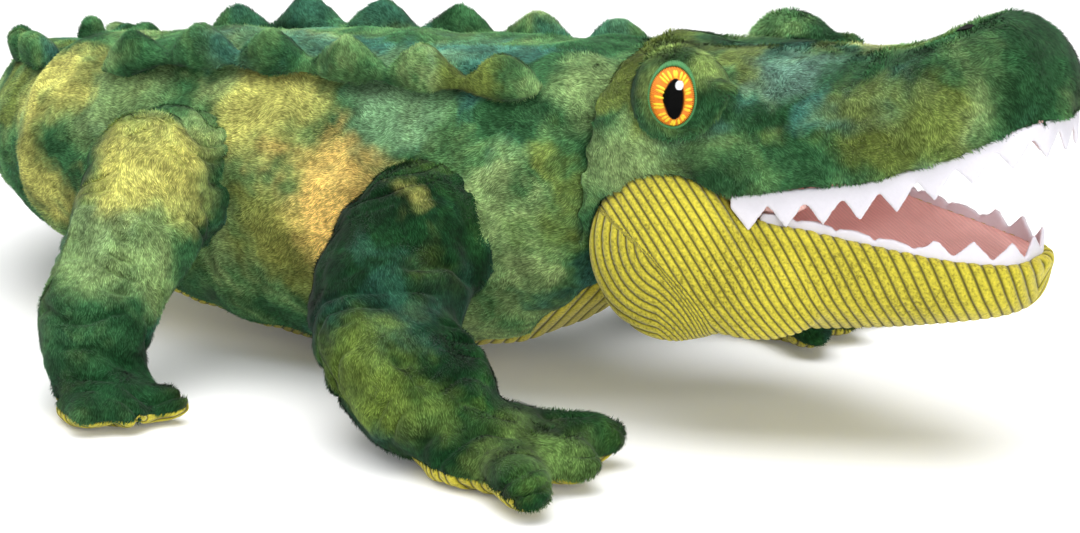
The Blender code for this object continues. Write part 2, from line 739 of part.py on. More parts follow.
body_filling = torso_form("body_filling", -filling_inset, False)
cut(body_filling, cap_cutter("filling_front", NECK_PLACE, FORWARD, NECK_RADIUS - filling_inset, NECK_SPREAD),
    neck_hole, cap_cutter("filling_rear", TAIL_PLACE, -FORWARD, TAIL_BALL_RADIUS - filling_inset), *lobes)
finish(body_filling, FIBRE_WHITE, CLOTH_ROUGHNESS, body)

wad_profile = []
wad_inner, wad_steps = socket_radius(NECK_WAD_INNER), 2
for radius, order in ((wad_inner, range(wad_steps + 1)), (NECK_RADIUS, range(wad_steps, -1, -1))):
    for step in order:
        angle = NECK_WAD_ANGLE * step / wad_steps
        wad_profile.append((radius * math.cos(angle), radius * math.sin(angle)))
finish(turned("neck_filling", wad_profile, NECK_PLACE, FORWARD), FIBRE_WHITE, CLOTH_ROUGHNESS, neck)

# Head covers, palate and filling
neck_socket = ball("neck_socket", NECK_PLACE, socket_radius(NECK_RADIUS))
cheek_socket = cheek_form("cheek_socket", socket_radius(CHEEK_RADIUS, CHEEK_SEGMENTS) - CHEEK_RADIUS)
head_hollow = head_form("head_hollow", -COVER_THICKNESS, False)
mouth_cut = below_upper_lip("upper_mouth", 0)
reach = HEAD_LENGTH * 2
in_front = box("in_front", (HEAD_SPLIT - GAP / 2, -reach, -reach), (reach, reach, reach))
behind = box("behind", (-reach, -reach, -reach), (HEAD_SPLIT + GAP / 2, reach, reach))
for name, far_side in (("head_cover", in_front), ("snout_cover", behind)):
    cover = head_form(name, 0, True)
    cut(cover, head_hollow, neck_socket, cheek_socket, mouth_cut, far_side)
    finish(cover, OLIVE, CLOTH_ROUGHNESS, head)

head_filling = head_form("head_filling", -filling_inset, False)
throat = box("throat", (-reach, -reach, -reach), (reach, reach, HEAD_FILLING_LEVEL))
cut(head_filling, neck_socket, cheek_socket, throat,
    below_upper_lip("filling_mouth", LINING_THICKNESS + GAP))
finish(head_filling, FIBRE_WHITE, CLOTH_ROUGHNESS, head)

palate = head_form("palate_lining", -filling_inset, False)
cut(palate, below_upper_lip("palate_top", LINING_THICKNESS), operation="INTERSECT")
mouth_back = box("mouth_back", (-reach, -reach, -reach), (MOUTH_BACK, reach, reach))
cut(palate, mouth_cut, mouth_back)
finish(palate, PINK, CLOTH_ROUGHNESS, head)

upper_teeth = felt_teeth("upper_teeth", LIP_PLAN_SHARES, HEAD_LENGTH, HEAD_HALF_WIDTH, upper_lip, -1,
                         UPPER_TEETH_COUNT, UPPER_BAND, UPPER_TOOTH)
finish(upper_teeth, FELT_WHITE, CLOTH_ROUGHNESS, head)

# Lower jaw cover, mouth floor, filling and teeth
jaw_hollow = jaw_form("jaw_hollow", -COVER_THICKNESS, False)
cut(jaw_hollow, cheek_form("cheek_hollow", -COVER_THICKNESS), operation="UNION")
jaw_cover = jaw_form("jaw_cover", 0, True)
cut(jaw_cover, cheek_form("cheeks", 0), operation="UNION")
cut(jaw_cover, jaw_hollow, neck_sweep("neck_room", 0), above_lower_lip("lower_mouth", 0))
finish(jaw_cover, CORD_YELLOW, CLOTH_ROUGHNESS, jaw)

jaw_filling = jaw_form("jaw_filling", -filling_inset, False)
cut(jaw_filling, cheek_form("cheek_filling", -filling_inset), operation="UNION")
cut(jaw_filling, neck_sweep("filling_room", GAP), above_lower_lip("filling_top", LINING_THICKNESS + GAP))
finish(jaw_filling, FIBRE_WHITE, CLOTH_ROUGHNESS, jaw)

mouth_floor = jaw_form("mouth_floor", -filling_inset, False)
cut(mouth_floor, above_lower_lip("floor_base", LINING_THICKNESS), operation="INTERSECT")
cut(mouth_floor, above_lower_lip("floor_top", 0), mouth_back)
finish(mouth_floor, PINK, CLOTH_ROUGHNESS, jaw)

lower_teeth = felt_teeth("lower_teeth", LOWER_PLAN_SHARES, JAW_LENGTH, JAW_HALF_WIDTH, lower_lip, 1,
                         LOWER_TEETH_COUNT, LOWER_BAND, LOWER_TOOTH)
finish(lower_teeth, FELT_WHITE, CLOTH_ROUGHNESS, jaw)

# Brows, eyes and nostrils
head_clear = head_form("head_clear", GAP, True)
nostril_top = head_form("nostril_top", GAP + STITCH_HEIGHT, True)
for side, name in ((1, "left"), (-1, "right")):
    brow = brow_form(f"{name}_brow", side, 0)
    finish(cut(brow, head_clear), DARK_GREEN, CLOTH_ROUGHNESS, head)
    eye_patch(f"{name}_iris", side, 0, EYE_WIDTH, EYE_HEIGHT, (0, 0), ORANGE, THREAD_ROUGHNESS)
    eye_patch(f"{name}_pupil", side, 1, PUPIL_WIDTH, PUPIL_HEIGHT, (0, 0), THREAD_BLACK, THREAD_ROUGHNESS)
    eye_patch(f"{name}_glint", side, 2, GLINT_SIZE, GLINT_SIZE, (0, GLINT_OFFSET), FELT_WHITE,
              THREAD_ROUGHNESS)
    mesh = bmesh.new()
    bmesh.ops.create_cone(mesh, cap_ends=True, segments=16, radius1=1, radius2=1, depth=1)
    place = Matrix.Translation((NOSTRIL_FORWARD, side * NOSTRIL_OUT, HEAD_HEIGHT))
    sizes = Matrix.Diagonal((NOSTRIL_LENGTH / 2, NOSTRIL_WIDTH / 2, CUT_OVERRUN, 1))
    bmesh.ops.transform(mesh, matrix=place @ sizes, verts=mesh.verts)
    nostril = cut(as_object(f"{name}_nostril", mesh), head_clear)
    finish(cut(nostril, nostril_top, operation="INTERSECT"), THREAD_BLACK, THREAD_ROUGHNESS, head)

# Tail: two lengths, each turning on a ball at the end of the one before
tail_line = [TAIL_PLACE.copy()]
tail_headings = []
for step in range(TAIL_STEPS):
    part = (step + 0.5) / TAIL_STEPS
    angle = math.pi - TAIL_TURN * part ** TAIL_TURN_POWER
    tail_headings.append(Vector((math.cos(angle), math.sin(angle), 0)))
    tail_line.append(tail_line[-1] + tail_headings[-1] * (TAIL_LENGTH / TAIL_STEPS))
tail_headings.append(tail_headings[-1])


def tail_place(distance):
    """The tail's middle, its heading and its radius at a distance along it."""
    share = distance / TAIL_LENGTH
    spot = min(TAIL_STEPS - 1, int(share * TAIL_STEPS))
    part = share * TAIL_STEPS - spot
    centre = tail_line[spot].lerp(tail_line[spot + 1], part)
    centre.z = TAIL_HEIGHT - TAIL_DROP * share ** 1.3
    heading = tail_headings[spot].lerp(tail_headings[spot + 1], part).normalized()
    radius = TAIL_RADIUS + (TAIL_POINT_RADIUS - TAIL_RADIUS) * share ** TAIL_TAPER_POWER
    return centre, heading, radius


def tail_form(name, start, end, grow, soft):
    """A length of the tail's outer form, drawn larger or smaller by an even amount."""
    count, steps = 10, 5
    scale = cage_scale(count)
    rings = []
    if not soft:
        end += END_DRAW * grow
    for step in range(steps + 1):
        centre, heading, radius = tail_place(start + (end - start) * step / steps)
        reach = (radius + grow) * scale
        rings.append(section(centre, heading.cross(UP), UP, reach, reach, reach, count, 2.2))
    return loft(name, rings, soft)


split_place, split_heading, split_radius = tail_place(TAIL_SPLIT)
split_ball = split_radius + TAIL_SPLIT_INSET / 2
tail_socket = ball("tail_socket", TAIL_PLACE, socket_radius(TAIL_BALL_RADIUS))
split_socket = ball("split_socket", split_place, socket_radius(split_ball))
tail_base = joint("tail_turn", TAIL_PLACE, body)
tail_tip = joint("tail_tip_turn", split_place, tail_base)
base_span = (TAIL_START, TAIL_SPLIT + split_ball)
tip_span = (TAIL_SPLIT + split_ball * 0.45, TAIL_LENGTH)

for name, span, socket, end_ball, empty in (
        ("tail_base", base_span, tail_socket, split_ball, tail_base),
        ("tail_tip", tip_span, split_socket, 0, tail_tip)):
    room = (span[0] - TAIL_START / 2, span[1] + end_ball / 2)
    hollow = tail_form(name + "_hollow", *room, -COVER_THICKNESS, False)
    cover = tail_form(name + "_cover", *span, 0, True)
    filling = tail_form(name + "_filling", *room, -filling_inset, False)
    if end_ball:
        for form, inset in ((hollow, COVER_THICKNESS), (cover, 0), (filling, filling_inset)):
            cut(form, cap_cutter(form.name + "_end", split_place, split_heading, end_ball - inset))
    cut(cover, hollow, socket)
    cut(filling, socket)
    finish(cover, GREEN, CLOTH_ROUGHNESS, empty)
    finish(filling, FIBRE_WHITE, CLOTH_ROUGHNESS, empty)


# Rows of padded points, each one connected strip

def point_row(name, place_at, length, count, scale, clear, empty):
    """A padded strip with a row of rounded points along it."""
    rings = []
    steps = count * STEPS_PER_POINT
    for step in range(steps + 1):
        base, along, outward = place_at(length * step / steps)
        wave = abs(math.sin(math.pi * step / STEPS_PER_POINT)) ** 1.2
        rise = (ROW_VALLEY + (ROW_PEAK - ROW_VALLEY) * wave) * scale
        end = 0.6 if step in (0, steps) else 1
        across = along.cross(outward).normalized()
        rings.append(section(base, across, outward, ROW_HALF_THICKNESS * scale * end, rise * end,
                             ROW_DEPTH * scale, 6, 1.8))
    row = cut(loft(name, rings, False), *clear)
    return finish(row, OLIVE, CLOTH_ROUGHNESS, empty)


def back_place(side):
    """Places along one back row."""
    length = BACK_POINTS * ROW_PITCH

    def place_at(distance):
        share = distance / length
        out = ROW_OUT_FRONT + (ROW_OUT_REAR - ROW_OUT_FRONT) * share
        along = ROW_FRONT + distance
        base = Vector((-along, side * out, torso_top(along, out)))
        return base, -FORWARD, Vector((0, side * math.sin(ROW_LEAN), math.cos(ROW_LEAN)))
    return place_at


def tail_row_place(start, tilt):
    """Places along a tail row that stands at a tilt from upright."""
    def place_at(distance):
        centre, heading, radius = tail_place(start + distance)
        outward = UP * math.cos(tilt) + heading.cross(UP) * math.sin(tilt)
        return centre + outward * radius, heading, outward
    return place_at


torso_clear = torso_form("torso_clear", GAP, True)
base_clear = tail_form("tail_base_clear", *base_span, GAP, True)
tip_clear = tail_form("tail_tip_clear", *tip_span, GAP, True)
for side, name in ((1, "left"), (-1, "right")):
    point_row(f"back_points_{name}", back_place(side), BACK_POINTS * ROW_PITCH, BACK_POINTS, 1,
              (torso_clear,), body)
    point_row(f"tail_points_{name}", tail_row_place(TAIL_START + ROW_DEPTH, side * TAIL_ROW_ANGLE),
              TAIL_POINTS * ROW_PITCH * TAIL_PITCH_SHARE, TAIL_POINTS, TAIL_ROW_SCALE,
              (base_clear, tail_socket), tail_base)
tip_start = tip_span[0] + ROW_DEPTH
point_row("tail_tip_points", tail_row_place(tip_start, 0), (TAIL_LENGTH - tip_start) * 0.8, TIP_POINTS,
          TIP_ROW_SCALE, (tip_clear, split_socket), tail_tip)

# Legs: cover, sole and filling
sole_cut = box("sole_cut", (-TORSO_LENGTH * 2, -TORSO_LENGTH, -CUT_OVERRUN),
               (TORSO_LENGTH, TORSO_LENGTH, SOLE_THICKNESS + GAP))
above_sole = box("above_sole", (-TORSO_LENGTH * 2, -TORSO_LENGTH, SOLE_THICKNESS),
                 (TORSO_LENGTH, TORSO_LENGTH, TORSO_LENGTH))
for side, side_name in ((1, "left"), (-1, "right")):
    for kind, leg in (("front", FRONT_LEG), ("rear", REAR_LEG)):
        name = f"{kind}_{side_name}"
        swing = joint(f"{name}_leg_swing", side_place(leg["hub"], side), body)
        cover = leg_solid(f"{name}_leg_cover", leg, side)
        hollow = limb_form(f"{name}_leg_hollow", leg, side, -COVER_THICKNESS, False)
        filling = limb_form(f"{name}_leg_filling", leg, side, -filling_inset, False)
        cut(cover, hollow, sole_cut)
        cut(filling, sole_cut)
        pad, *toes = toe_forms(f"{name}_sole", leg, side, 0)
        pad.name = f"{name}_sole"
        cut(pad, *toes, operation="UNION")
        cut(pad, floor, above_sole)
        finish(cover, DARK_GREEN, CLOTH_ROUGHNESS, swing)
        finish(filling, FIBRE_WHITE, CLOTH_ROUGHNESS, swing)
        finish(pad, CORD_YELLOW, CLOTH_ROUGHNESS, swing)

# The finished toy is centred over the origin
bpy.context.view_layer.update()
scene_graph = bpy.context.evaluated_depsgraph_get()
corners = [part.matrix_world @ Vector(corner)
           for part in parts.objects if part.type == "MESH"
           for corner in part.evaluated_get(scene_graph).bound_box]
lows, highs = [[pick(corner[axis] for corner in corners) for axis in range(2)] for pick in (min, max)]
root.location = (-(lows[0] + highs[0]) / 2, -(lows[1] + highs[1]) / 2, 0)
bpy.context.view_layer.update()
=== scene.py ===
"""A stuffed plush crocodile: dyed pile skin, corduroy belly and jaw, felt teeth, stitched eyes."""

import math

import bmesh
import bpy
import numpy as np
from mathutils import Matrix, Vector, noise
from mathutils.bvhtree import BVHTree


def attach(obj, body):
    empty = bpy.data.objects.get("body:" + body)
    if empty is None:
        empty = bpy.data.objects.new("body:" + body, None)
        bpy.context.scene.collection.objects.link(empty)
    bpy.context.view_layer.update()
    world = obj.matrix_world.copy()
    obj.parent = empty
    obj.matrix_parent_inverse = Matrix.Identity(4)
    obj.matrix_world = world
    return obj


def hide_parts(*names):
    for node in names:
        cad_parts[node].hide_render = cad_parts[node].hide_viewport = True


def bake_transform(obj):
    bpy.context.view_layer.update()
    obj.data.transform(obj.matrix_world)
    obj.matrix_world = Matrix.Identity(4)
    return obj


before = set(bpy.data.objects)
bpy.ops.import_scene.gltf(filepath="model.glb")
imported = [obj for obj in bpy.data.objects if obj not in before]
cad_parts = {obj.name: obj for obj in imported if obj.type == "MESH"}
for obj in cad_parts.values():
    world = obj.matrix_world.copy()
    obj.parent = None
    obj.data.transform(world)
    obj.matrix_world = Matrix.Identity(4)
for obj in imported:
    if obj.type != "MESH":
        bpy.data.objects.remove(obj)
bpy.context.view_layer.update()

# Camera and studio
# A long lens looks down a little on the right side of the animal, as in the photograph.
# Three soft lamps and a pale room light it; the floor is white paper that keeps the shadow.
LENS_MM = 100
SENSOR_MM = 36
CAMERA_PLACE = Vector((0.567776, -0.865993, 0.3082))
CAMERA_TURN = math.radians(31.5)
CAMERA_TILT = math.radians(15)
LAMP_AIM = Vector((0, 0, 0.05))
PAPER_SIZE = 6
PAPER_WHITE, PAPER_SHOWN, PAPER_GLOW = 0.80, 0.97, 0.08
ROOM_LIGHT = 0.26

sight = Vector(
    (
        -math.sin(CAMERA_TURN) * math.cos(CAMERA_TILT),
        math.cos(CAMERA_TURN) * math.cos(CAMERA_TILT),
        -math.sin(CAMERA_TILT),
    )
)
camera_data = bpy.data.cameras.new("camera")
camera_data.lens = LENS_MM
camera_data.sensor_width = SENSOR_MM
camera_data.clip_start = 0.01
camera = bpy.data.objects.new("camera", camera_data)
camera.location = CAMERA_PLACE
camera.rotation_euler = sight.to_track_quat("-Z", "Y").to_euler()
bpy.context.scene.collection.objects.link(camera)
bpy.context.scene.camera = camera
bpy.context.scene.view_settings.view_transform = "Standard"


class Wire:
    """An output socket that takes part in Python arithmetic and starts new nodes."""

    def __init__(self, tree, socket=None):
        self.tree, self.socket = tree, socket

    def node(self, kind, settings=None, inputs=None, output=0):
        """A new node: its settings are made first, then its sockets are filled or linked."""
        made = self.tree.nodes.new(kind)
        for key, value in (settings or {}).items():
            if key != "stops":
                setattr(made, key, value)
                continue
            ramp = made.color_ramp.elements
            ramp.remove(ramp[-1])
            for count, (place, colour) in enumerate(value):
                stop = ramp.new(place) if count else ramp[0]
                stop.position, stop.color = place, (*colour, 1)
        for key, value in (inputs or {}).items():
            if isinstance(value, Wire):
                self.tree.links.new(value.socket, made.inputs[key])
            else:
                made.inputs[key].default_value = value
        return Wire(self.tree, made.outputs[output] if made.outputs else None)

    def sum(self, operation, *values):
        """A Math node."""
        settings = {"operation": operation}
        return self.node("ShaderNodeMath", settings, dict(enumerate(values)))

    def aim(self, operation, *values, output=0):
        """A Vector Math node."""
        settings = {"operation": operation}
        return self.node("ShaderNodeVectorMath", settings, dict(enumerate(values)), output)

    def blend(self, share, first, second, kind="MIX"):
        """A colour Mix node."""
        settings = {"data_type": "RGBA", "blend_type": kind}
        return self.node("ShaderNodeMix", settings, {0: share, 6: first, 7: second}, 2)

    def slope(self, value, low, high, start=0.0, end=1.0):
        """A smooth step from start to end as value goes from low to high."""
        settings = {"interpolation_type": "SMOOTHSTEP"}
        inputs = {"Value": value, "From Min": low, "From Max": high, "To Min": start, "To Max": end}
        return self.node("ShaderNodeMapRange", settings, inputs, "Result")

    def grey(self):
        """This value in all three channels of a colour."""
        return self.node("ShaderNodeCombineXYZ", {}, {"X": self, "Y": self, "Z": self})

    def __add__(self, other):
        return self.sum("ADD", self, other)

    __radd__ = __add__

    def __sub__(self, other):
        return self.sum("SUBTRACT", self, other)

    def __rsub__(self, other):
        return self.sum("SUBTRACT", other, self)

    def __mul__(self, other):
        return self.sum("MULTIPLY", self, other)

    __rmul__ = __mul__


def shade(code):
    """Linear colour of a printed colour code."""
    parts = [int(code[k : k + 2], 16) / 255 for k in (0, 2, 4)]
    return tuple(x / 12.92 if x <= 0.04045 else ((x + 0.055) / 1.055) ** 2.4 for x in parts)


def surface(name):
    """A new material: itself, its shader and a first wire."""
    material = bpy.data.materials.new(name)
    material.use_nodes = True
    shader = material.node_tree.nodes["Principled BSDF"]
    return material, shader, Wire(material.node_tree)


def looked_at(wire):
    """1 where the camera, a mirror or glass looks on, and 0 where light only bounces."""
    seen = wire.node("ShaderNodeLightPath", output="Is Camera Ray")
    mirrored = wire.node("ShaderNodeLightPath", output="Is Glossy Ray")
    passed = wire.node("ShaderNodeLightPath", output="Is Transmission Ray")
    return wire.sum("MAXIMUM", seen, wire.sum("MAXIMUM", mirrored, passed))


paper_white, paper_shader, paper_wire = surface("studio_paper")
shown = looked_at(paper_wire)
white = paper_wire.slope(shown, 0, 1, PAPER_WHITE, PAPER_SHOWN).grey()
paper_wire.tree.links.new(white.socket, paper_shader.inputs["Base Color"])
paper_wire.tree.links.new((shown * PAPER_GLOW).socket, paper_shader.inputs["Emission Strength"])
paper_shader.inputs["Emission Color"].default_value = (1, 1, 1, 1)
paper_shader.inputs["Roughness"].default_value = 1
paper_shader.inputs["Specular IOR Level"].default_value = 0

paper = bmesh.new()
bmesh.ops.create_grid(paper, x_segments=1, y_segments=1, size=PAPER_SIZE)
paper_mesh = bpy.data.meshes.new("studio_floor")
paper.to_mesh(paper_mesh)
paper.free()
paper_mesh.materials.append(paper_white)
studio_floor = bpy.data.objects.new("studio_floor", paper_mesh)
bpy.context.scene.collection.objects.link(studio_floor)

for lamp_name, place, size, power in (
    ("lamp_over", (0.05, -0.12, 1.35), 1.7, 33.0),
    ("lamp_front", (1.25, -1.00, 0.50), 0.9, 12.5),
    ("lamp_side", (-0.90, -0.90, 0.80), 1.0, 3.0),
):
    lamp_data = bpy.data.lights.new(lamp_name, "AREA")
    lamp_data.size = size
    lamp_data.energy = power
    lamp = bpy.data.objects.new(lamp_name, lamp_data)
    lamp.location = place
    lamp.rotation_euler = (LAMP_AIM - Vector(place)).to_track_quat("-Z", "Y").to_euler()
    bpy.context.scene.collection.objects.link(lamp)

room = bpy.data.worlds.new("room")
room.use_nodes = True
bpy.context.scene.world = room
room_wire = Wire(room.node_tree)
room_strength = room_wire.slope(looked_at(room_wire), 0, 1, ROOM_LIGHT, 1.0)
backdrop = room.node_tree.nodes["Background"]
backdrop.inputs["Color"].default_value = (1, 1, 1, 1)
room.node_tree.links.new(room_strength.socket, backdrop.inputs["Strength"])

# Torso and tail skin
# One long tube of short-pile plush, sewn down the back and stuffed with fibre, narrowing into
# a tail that curls to the left. Belly cord is let in below; the tail skin is cut off at a straight
# line.
MIDLINE = -0.0112
SKIN_WEAVE = 0.0029
SKIN_DEPTH = 0.0012
HEM_DEPTH = 0.0016
PILE_LENGTH, PILE_SLENDER = 0.0020, 0.20
PILE_SWIRL, PILE_STRAY, PILE_RISE = 2.2, 0.35, 0.34
TORSO_BLADES, LIMB_BLADES = 2.35e6, 2.7e6
TAIL_CUT = Vector((-0.1610, 0.0083, 0.060))
TAIL_LINE = Vector((-0.863, 0.505, 0))
TAIL_ROOT_BEND = ((-0.125, MIDLINE, 0.0625), (-0.158, 0.004, 0.0625))
TAIL_TIP_BEND = ((-0.178, 0.014, 0.058), (-0.206, 0.056, 0.056))
FLANK_SEAM = (
    (-0.150, -0.058, 0.075), (-0.10, -0.068, 0.070), (-0.02, -0.073, 0.062), (0.02, -0.073, 0.058),
)


def placed(mesh, name):
    """An object for a finished mesh, in the scene."""
    piece = bpy.data.objects.new(name, mesh)
    bpy.context.scene.collection.objects.link(piece)
    return piece


def points(piece):
    """Vertex places as an array."""
    found = np.empty(len(piece.data.vertices) * 3)
    piece.data.vertices.foreach_get("co", found)
    return found.reshape(-1, 3)


def normals(piece):
    """Vertex normals as an array."""
    found = np.empty(len(piece.data.vertices) * 3, np.float32)
    piece.data.vertex_normals.foreach_get("vector", found)
    return found.reshape(-1, 3).astype(float)


def shift(piece, moves):
    """Moves each vertex by its own step."""
    piece.data.vertices.foreach_set("co", (points(piece) + moves).ravel())
    piece.data.update()


def settle(piece):
    """Applies what modifiers a piece has."""
    graph = bpy.context.evaluated_depsgraph_get()
    mesh = bpy.data.meshes.new_from_object(piece.evaluated_get(graph))
    piece.modifiers.clear()
    old, piece.data = piece.data, mesh
    name = old.name
    bpy.data.meshes.remove(old)
    mesh.name = name


def largest_part(piece):
    """Keeps the largest closed shell and drops what lies inside it."""
    form = bmesh.new()
    form.from_mesh(piece.data)
    left, shells = set(form.verts), []
    while left:
        edge, shell = [left.pop()], []
        while edge:
            vert = edge.pop()
            shell.append(vert)
            for link in vert.link_edges:
                other = link.other_vert(vert)
                if other in left:
                    left.discard(other)
                    edge.append(other)
        shells.append(shell)
    shells.sort(key=len)
    bmesh.ops.delete(form, geom=[v for shell in shells[:-1] for v in shell], context="VERTS")
    form.to_mesh(piece.data)
    form.free()


def stuffed(name, nodes, weave, rounds, pads=(), inset=SKIN_DEPTH):
    """A closed soft form round the named solids and extra pads, evenly woven and rounded off."""
    form = bmesh.new()
    for node in nodes:
        form.from_mesh(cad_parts[node].data)
    bmesh.ops.remove_doubles(form, verts=form.verts, dist=1e-6)
    mesh = bpy.data.meshes.new(name)
    for centre, radii in pads:
        pad = bmesh.new()
        place = Matrix.LocRotScale(centre, None, radii)
        bmesh.ops.create_uvsphere(pad, u_segments=24, v_segments=12, radius=1, matrix=place)
        pad.to_mesh(mesh)
        pad.free()
        form.from_mesh(mesh)
    form.to_mesh(mesh)
    form.free()
    piece = placed(mesh, name)
    woven = piece.modifiers.new("weave", "REMESH")
    woven.mode, woven.voxel_size, woven.use_smooth_shade = "VOXEL", weave, True
    settle(piece)
    largest_part(piece)
    form = bmesh.new()
    form.from_mesh(piece.data)
    for _ in range(rounds):
        bmesh.ops.smooth_vert(
            form, verts=form.verts, factor=0.5, use_axis_x=True, use_axis_y=True, use_axis_z=True
        )
    form.to_mesh(piece.data)
    form.free()
    shift(piece, normals(piece) * -inset)
    return piece


def refine(piece, levels=1):
    """Subdivides a piece smoothly."""
    finer = piece.modifiers.new("finer", "SUBSURF")
    finer.levels = finer.render_levels = levels
    settle(piece)


def inflate(piece, pressure, spare, cap, steps=14):
    """Cloth with a little spare fabric swells over its filling and wrinkles, by cap at most."""
    start = points(piece)
    cloth = piece.modifiers.new("filling", "CLOTH")
    fabric = cloth.settings
    fabric.quality = 4
    fabric.mass = 0.25
    fabric.tension_stiffness = fabric.compression_stiffness = 12
    fabric.shear_stiffness = 6
    fabric.bending_stiffness = 0.6
    fabric.use_pressure = True
    fabric.uniform_pressure_force = pressure
    fabric.shrink_min = -spare
    fabric.effector_weights.gravity = 0
    cloth.point_cache.frame_start, cloth.point_cache.frame_end = 1, steps
    for step in range(1, steps + 1):
        bpy.context.scene.frame_set(step)
    settle(piece)
    moves = points(piece) - start
    length = np.linalg.norm(moves, axis=1, keepdims=True)
    moves *= np.minimum(1, cap / np.maximum(length, 1e-9))
    piece.data.vertices.foreach_set("co", (start + moves).ravel())
    piece.data.update()
    bpy.context.scene.frame_set(1)


def dents(piece, size, depth, stretch=(1, 1, 1), seed=0.0):
    """Soft uneven hollows from hand filling, stretched along an axis."""
    place = points(piece) / size * np.array(stretch) + seed
    push = np.array([noise.noise(Vector(p)) for p in place])
    shift(piece, normals(piece) * (push * depth)[:, None])


def rings(piece, start, end, pitch, depth, seed=0.0):
    """Broken ring wrinkles round a stuffed limb, across the line from start to end."""
    axis = (Vector(end) - Vector(start)).normalized()
    place = points(piece)
    along = (place - np.array(start)) @ np.array(axis) / pitch
    sway = np.array([noise.noise(Vector(p) / 0.022 + Vector((seed, 0, 0))) for p in place])
    strength = np.array([noise.noise(Vector(p) / 0.016 + Vector((0, seed, 5))) for p in place])
    phase = along + sway * 1.3
    fold = np.exp(-(((phase - np.floor(phase) - 0.5) / 0.17) ** 2))
    strength = np.clip(strength * 2.2 + 0.5, 0, 1)
    shift(piece, normals(piece) * (-depth * fold * strength)[:, None])


def crease(piece, path, depth, width):
    """A sewn line pulls the skin in along a path of points."""
    skin = BVHTree.FromObject(piece, bpy.context.evaluated_depsgraph_get())
    line = [Vector(p) for p in path]
    spots = []
    for a, b in zip(line, line[1:]):
        count = max(2, int((b - a).length / 0.002))
        spots += [skin.find_nearest(a.lerp(b, k / count))[0] for k in range(count + 1)]
    spots = np.array(spots)
    here = points(piece)
    gap = np.full(len(here), 1e9)
    for spot in spots:
        gap = np.minimum(gap, ((here - spot) ** 2).sum(1))
    pull = depth * np.exp(-gap / width**2)
    shift(piece, normals(piece) * -pull[:, None])


def hemmed(form):
    """Turns the open edges of a skin in."""
    form.normal_update()
    edges = [e for e in form.edges if e.is_boundary]
    inward = {v: v.normal.copy() for e in edges for v in e.verts}
    grown = bmesh.ops.extrude_edge_only(form, edges=edges)["geom"]
    for vert in (g for g in grown if isinstance(g, bmesh.types.BMVert)):
        root = next(e.other_vert(vert) for e in vert.link_edges if e.other_vert(vert) in inward)
        vert.co -= inward[root] * HEM_DEPTH
    bmesh.ops.recalc_face_normals(form, faces=form.faces)


def solid_tree(node):
    """What finds the nearest place on a solid."""
    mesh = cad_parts[node].data
    return BVHTree.FromPolygons([v.co for v in mesh.vertices], [p.vertices for p in mesh.polygons])


def parted(piece, name, node, others, groove=0.0010, width=0.0035, lean=lambda v: 0.0):
    """Parts the fabric nearest to one solid from the rest along a pulled-in seam, and hems both.

    lean gives how much nearer each vertex counts to that solid than it is."""
    trees = [solid_tree(solid) for solid in (node, *others)]
    form = bmesh.new()
    form.from_mesh(piece.data)
    gaps = [[tree.find_nearest(v.co)[3] for tree in trees] for v in form.verts]
    form.normal_update()
    near = [gap[0] - lean(v) < min(gap[1:]) for gap, v in zip(gaps, form.verts)]
    chosen = {f for f in form.faces if sum(near[v.index] for v in f.verts) * 2 > len(f.verts)}
    border = [e for e in form.edges if len({f in chosen for f in e.link_faces}) == 2]
    around = {v: [] for e in border for v in e.verts}
    for edge in border:
        first, second = edge.verts
        around[first].append(second)
        around[second].append(first)
    for _ in range(12):
        mean = {v: sum((o.co for o in around[v]), Vector()) / len(around[v]) for v in around}
        for vert in around:
            vert.co = vert.co.lerp(mean[vert], 0.5)
    form.normal_update()
    seam = np.array([v.co for v in around])
    steps = []
    for vert in form.verts:
        gap = ((seam - np.array(vert.co)) ** 2).sum(1).min()
        steps.append(vert.normal * -groove * math.exp(-gap / width**2))
    for vert, step in zip(form.verts, steps):
        vert.co += step
    marks = {f.index for f in chosen}
    form.to_mesh(piece.data)
    form.free()
    made = placed(piece.data.copy(), name)
    for owner, keep in ((made, True), (piece, False)):
        form = bmesh.new()
        form.from_mesh(owner.data)
        gone = [f for f in form.faces if (f.index in marks) != keep]
        bmesh.ops.delete(form, geom=gone, context="FACES")
        hemmed(form)
        form.to_mesh(owner.data)
        form.free()
    return made


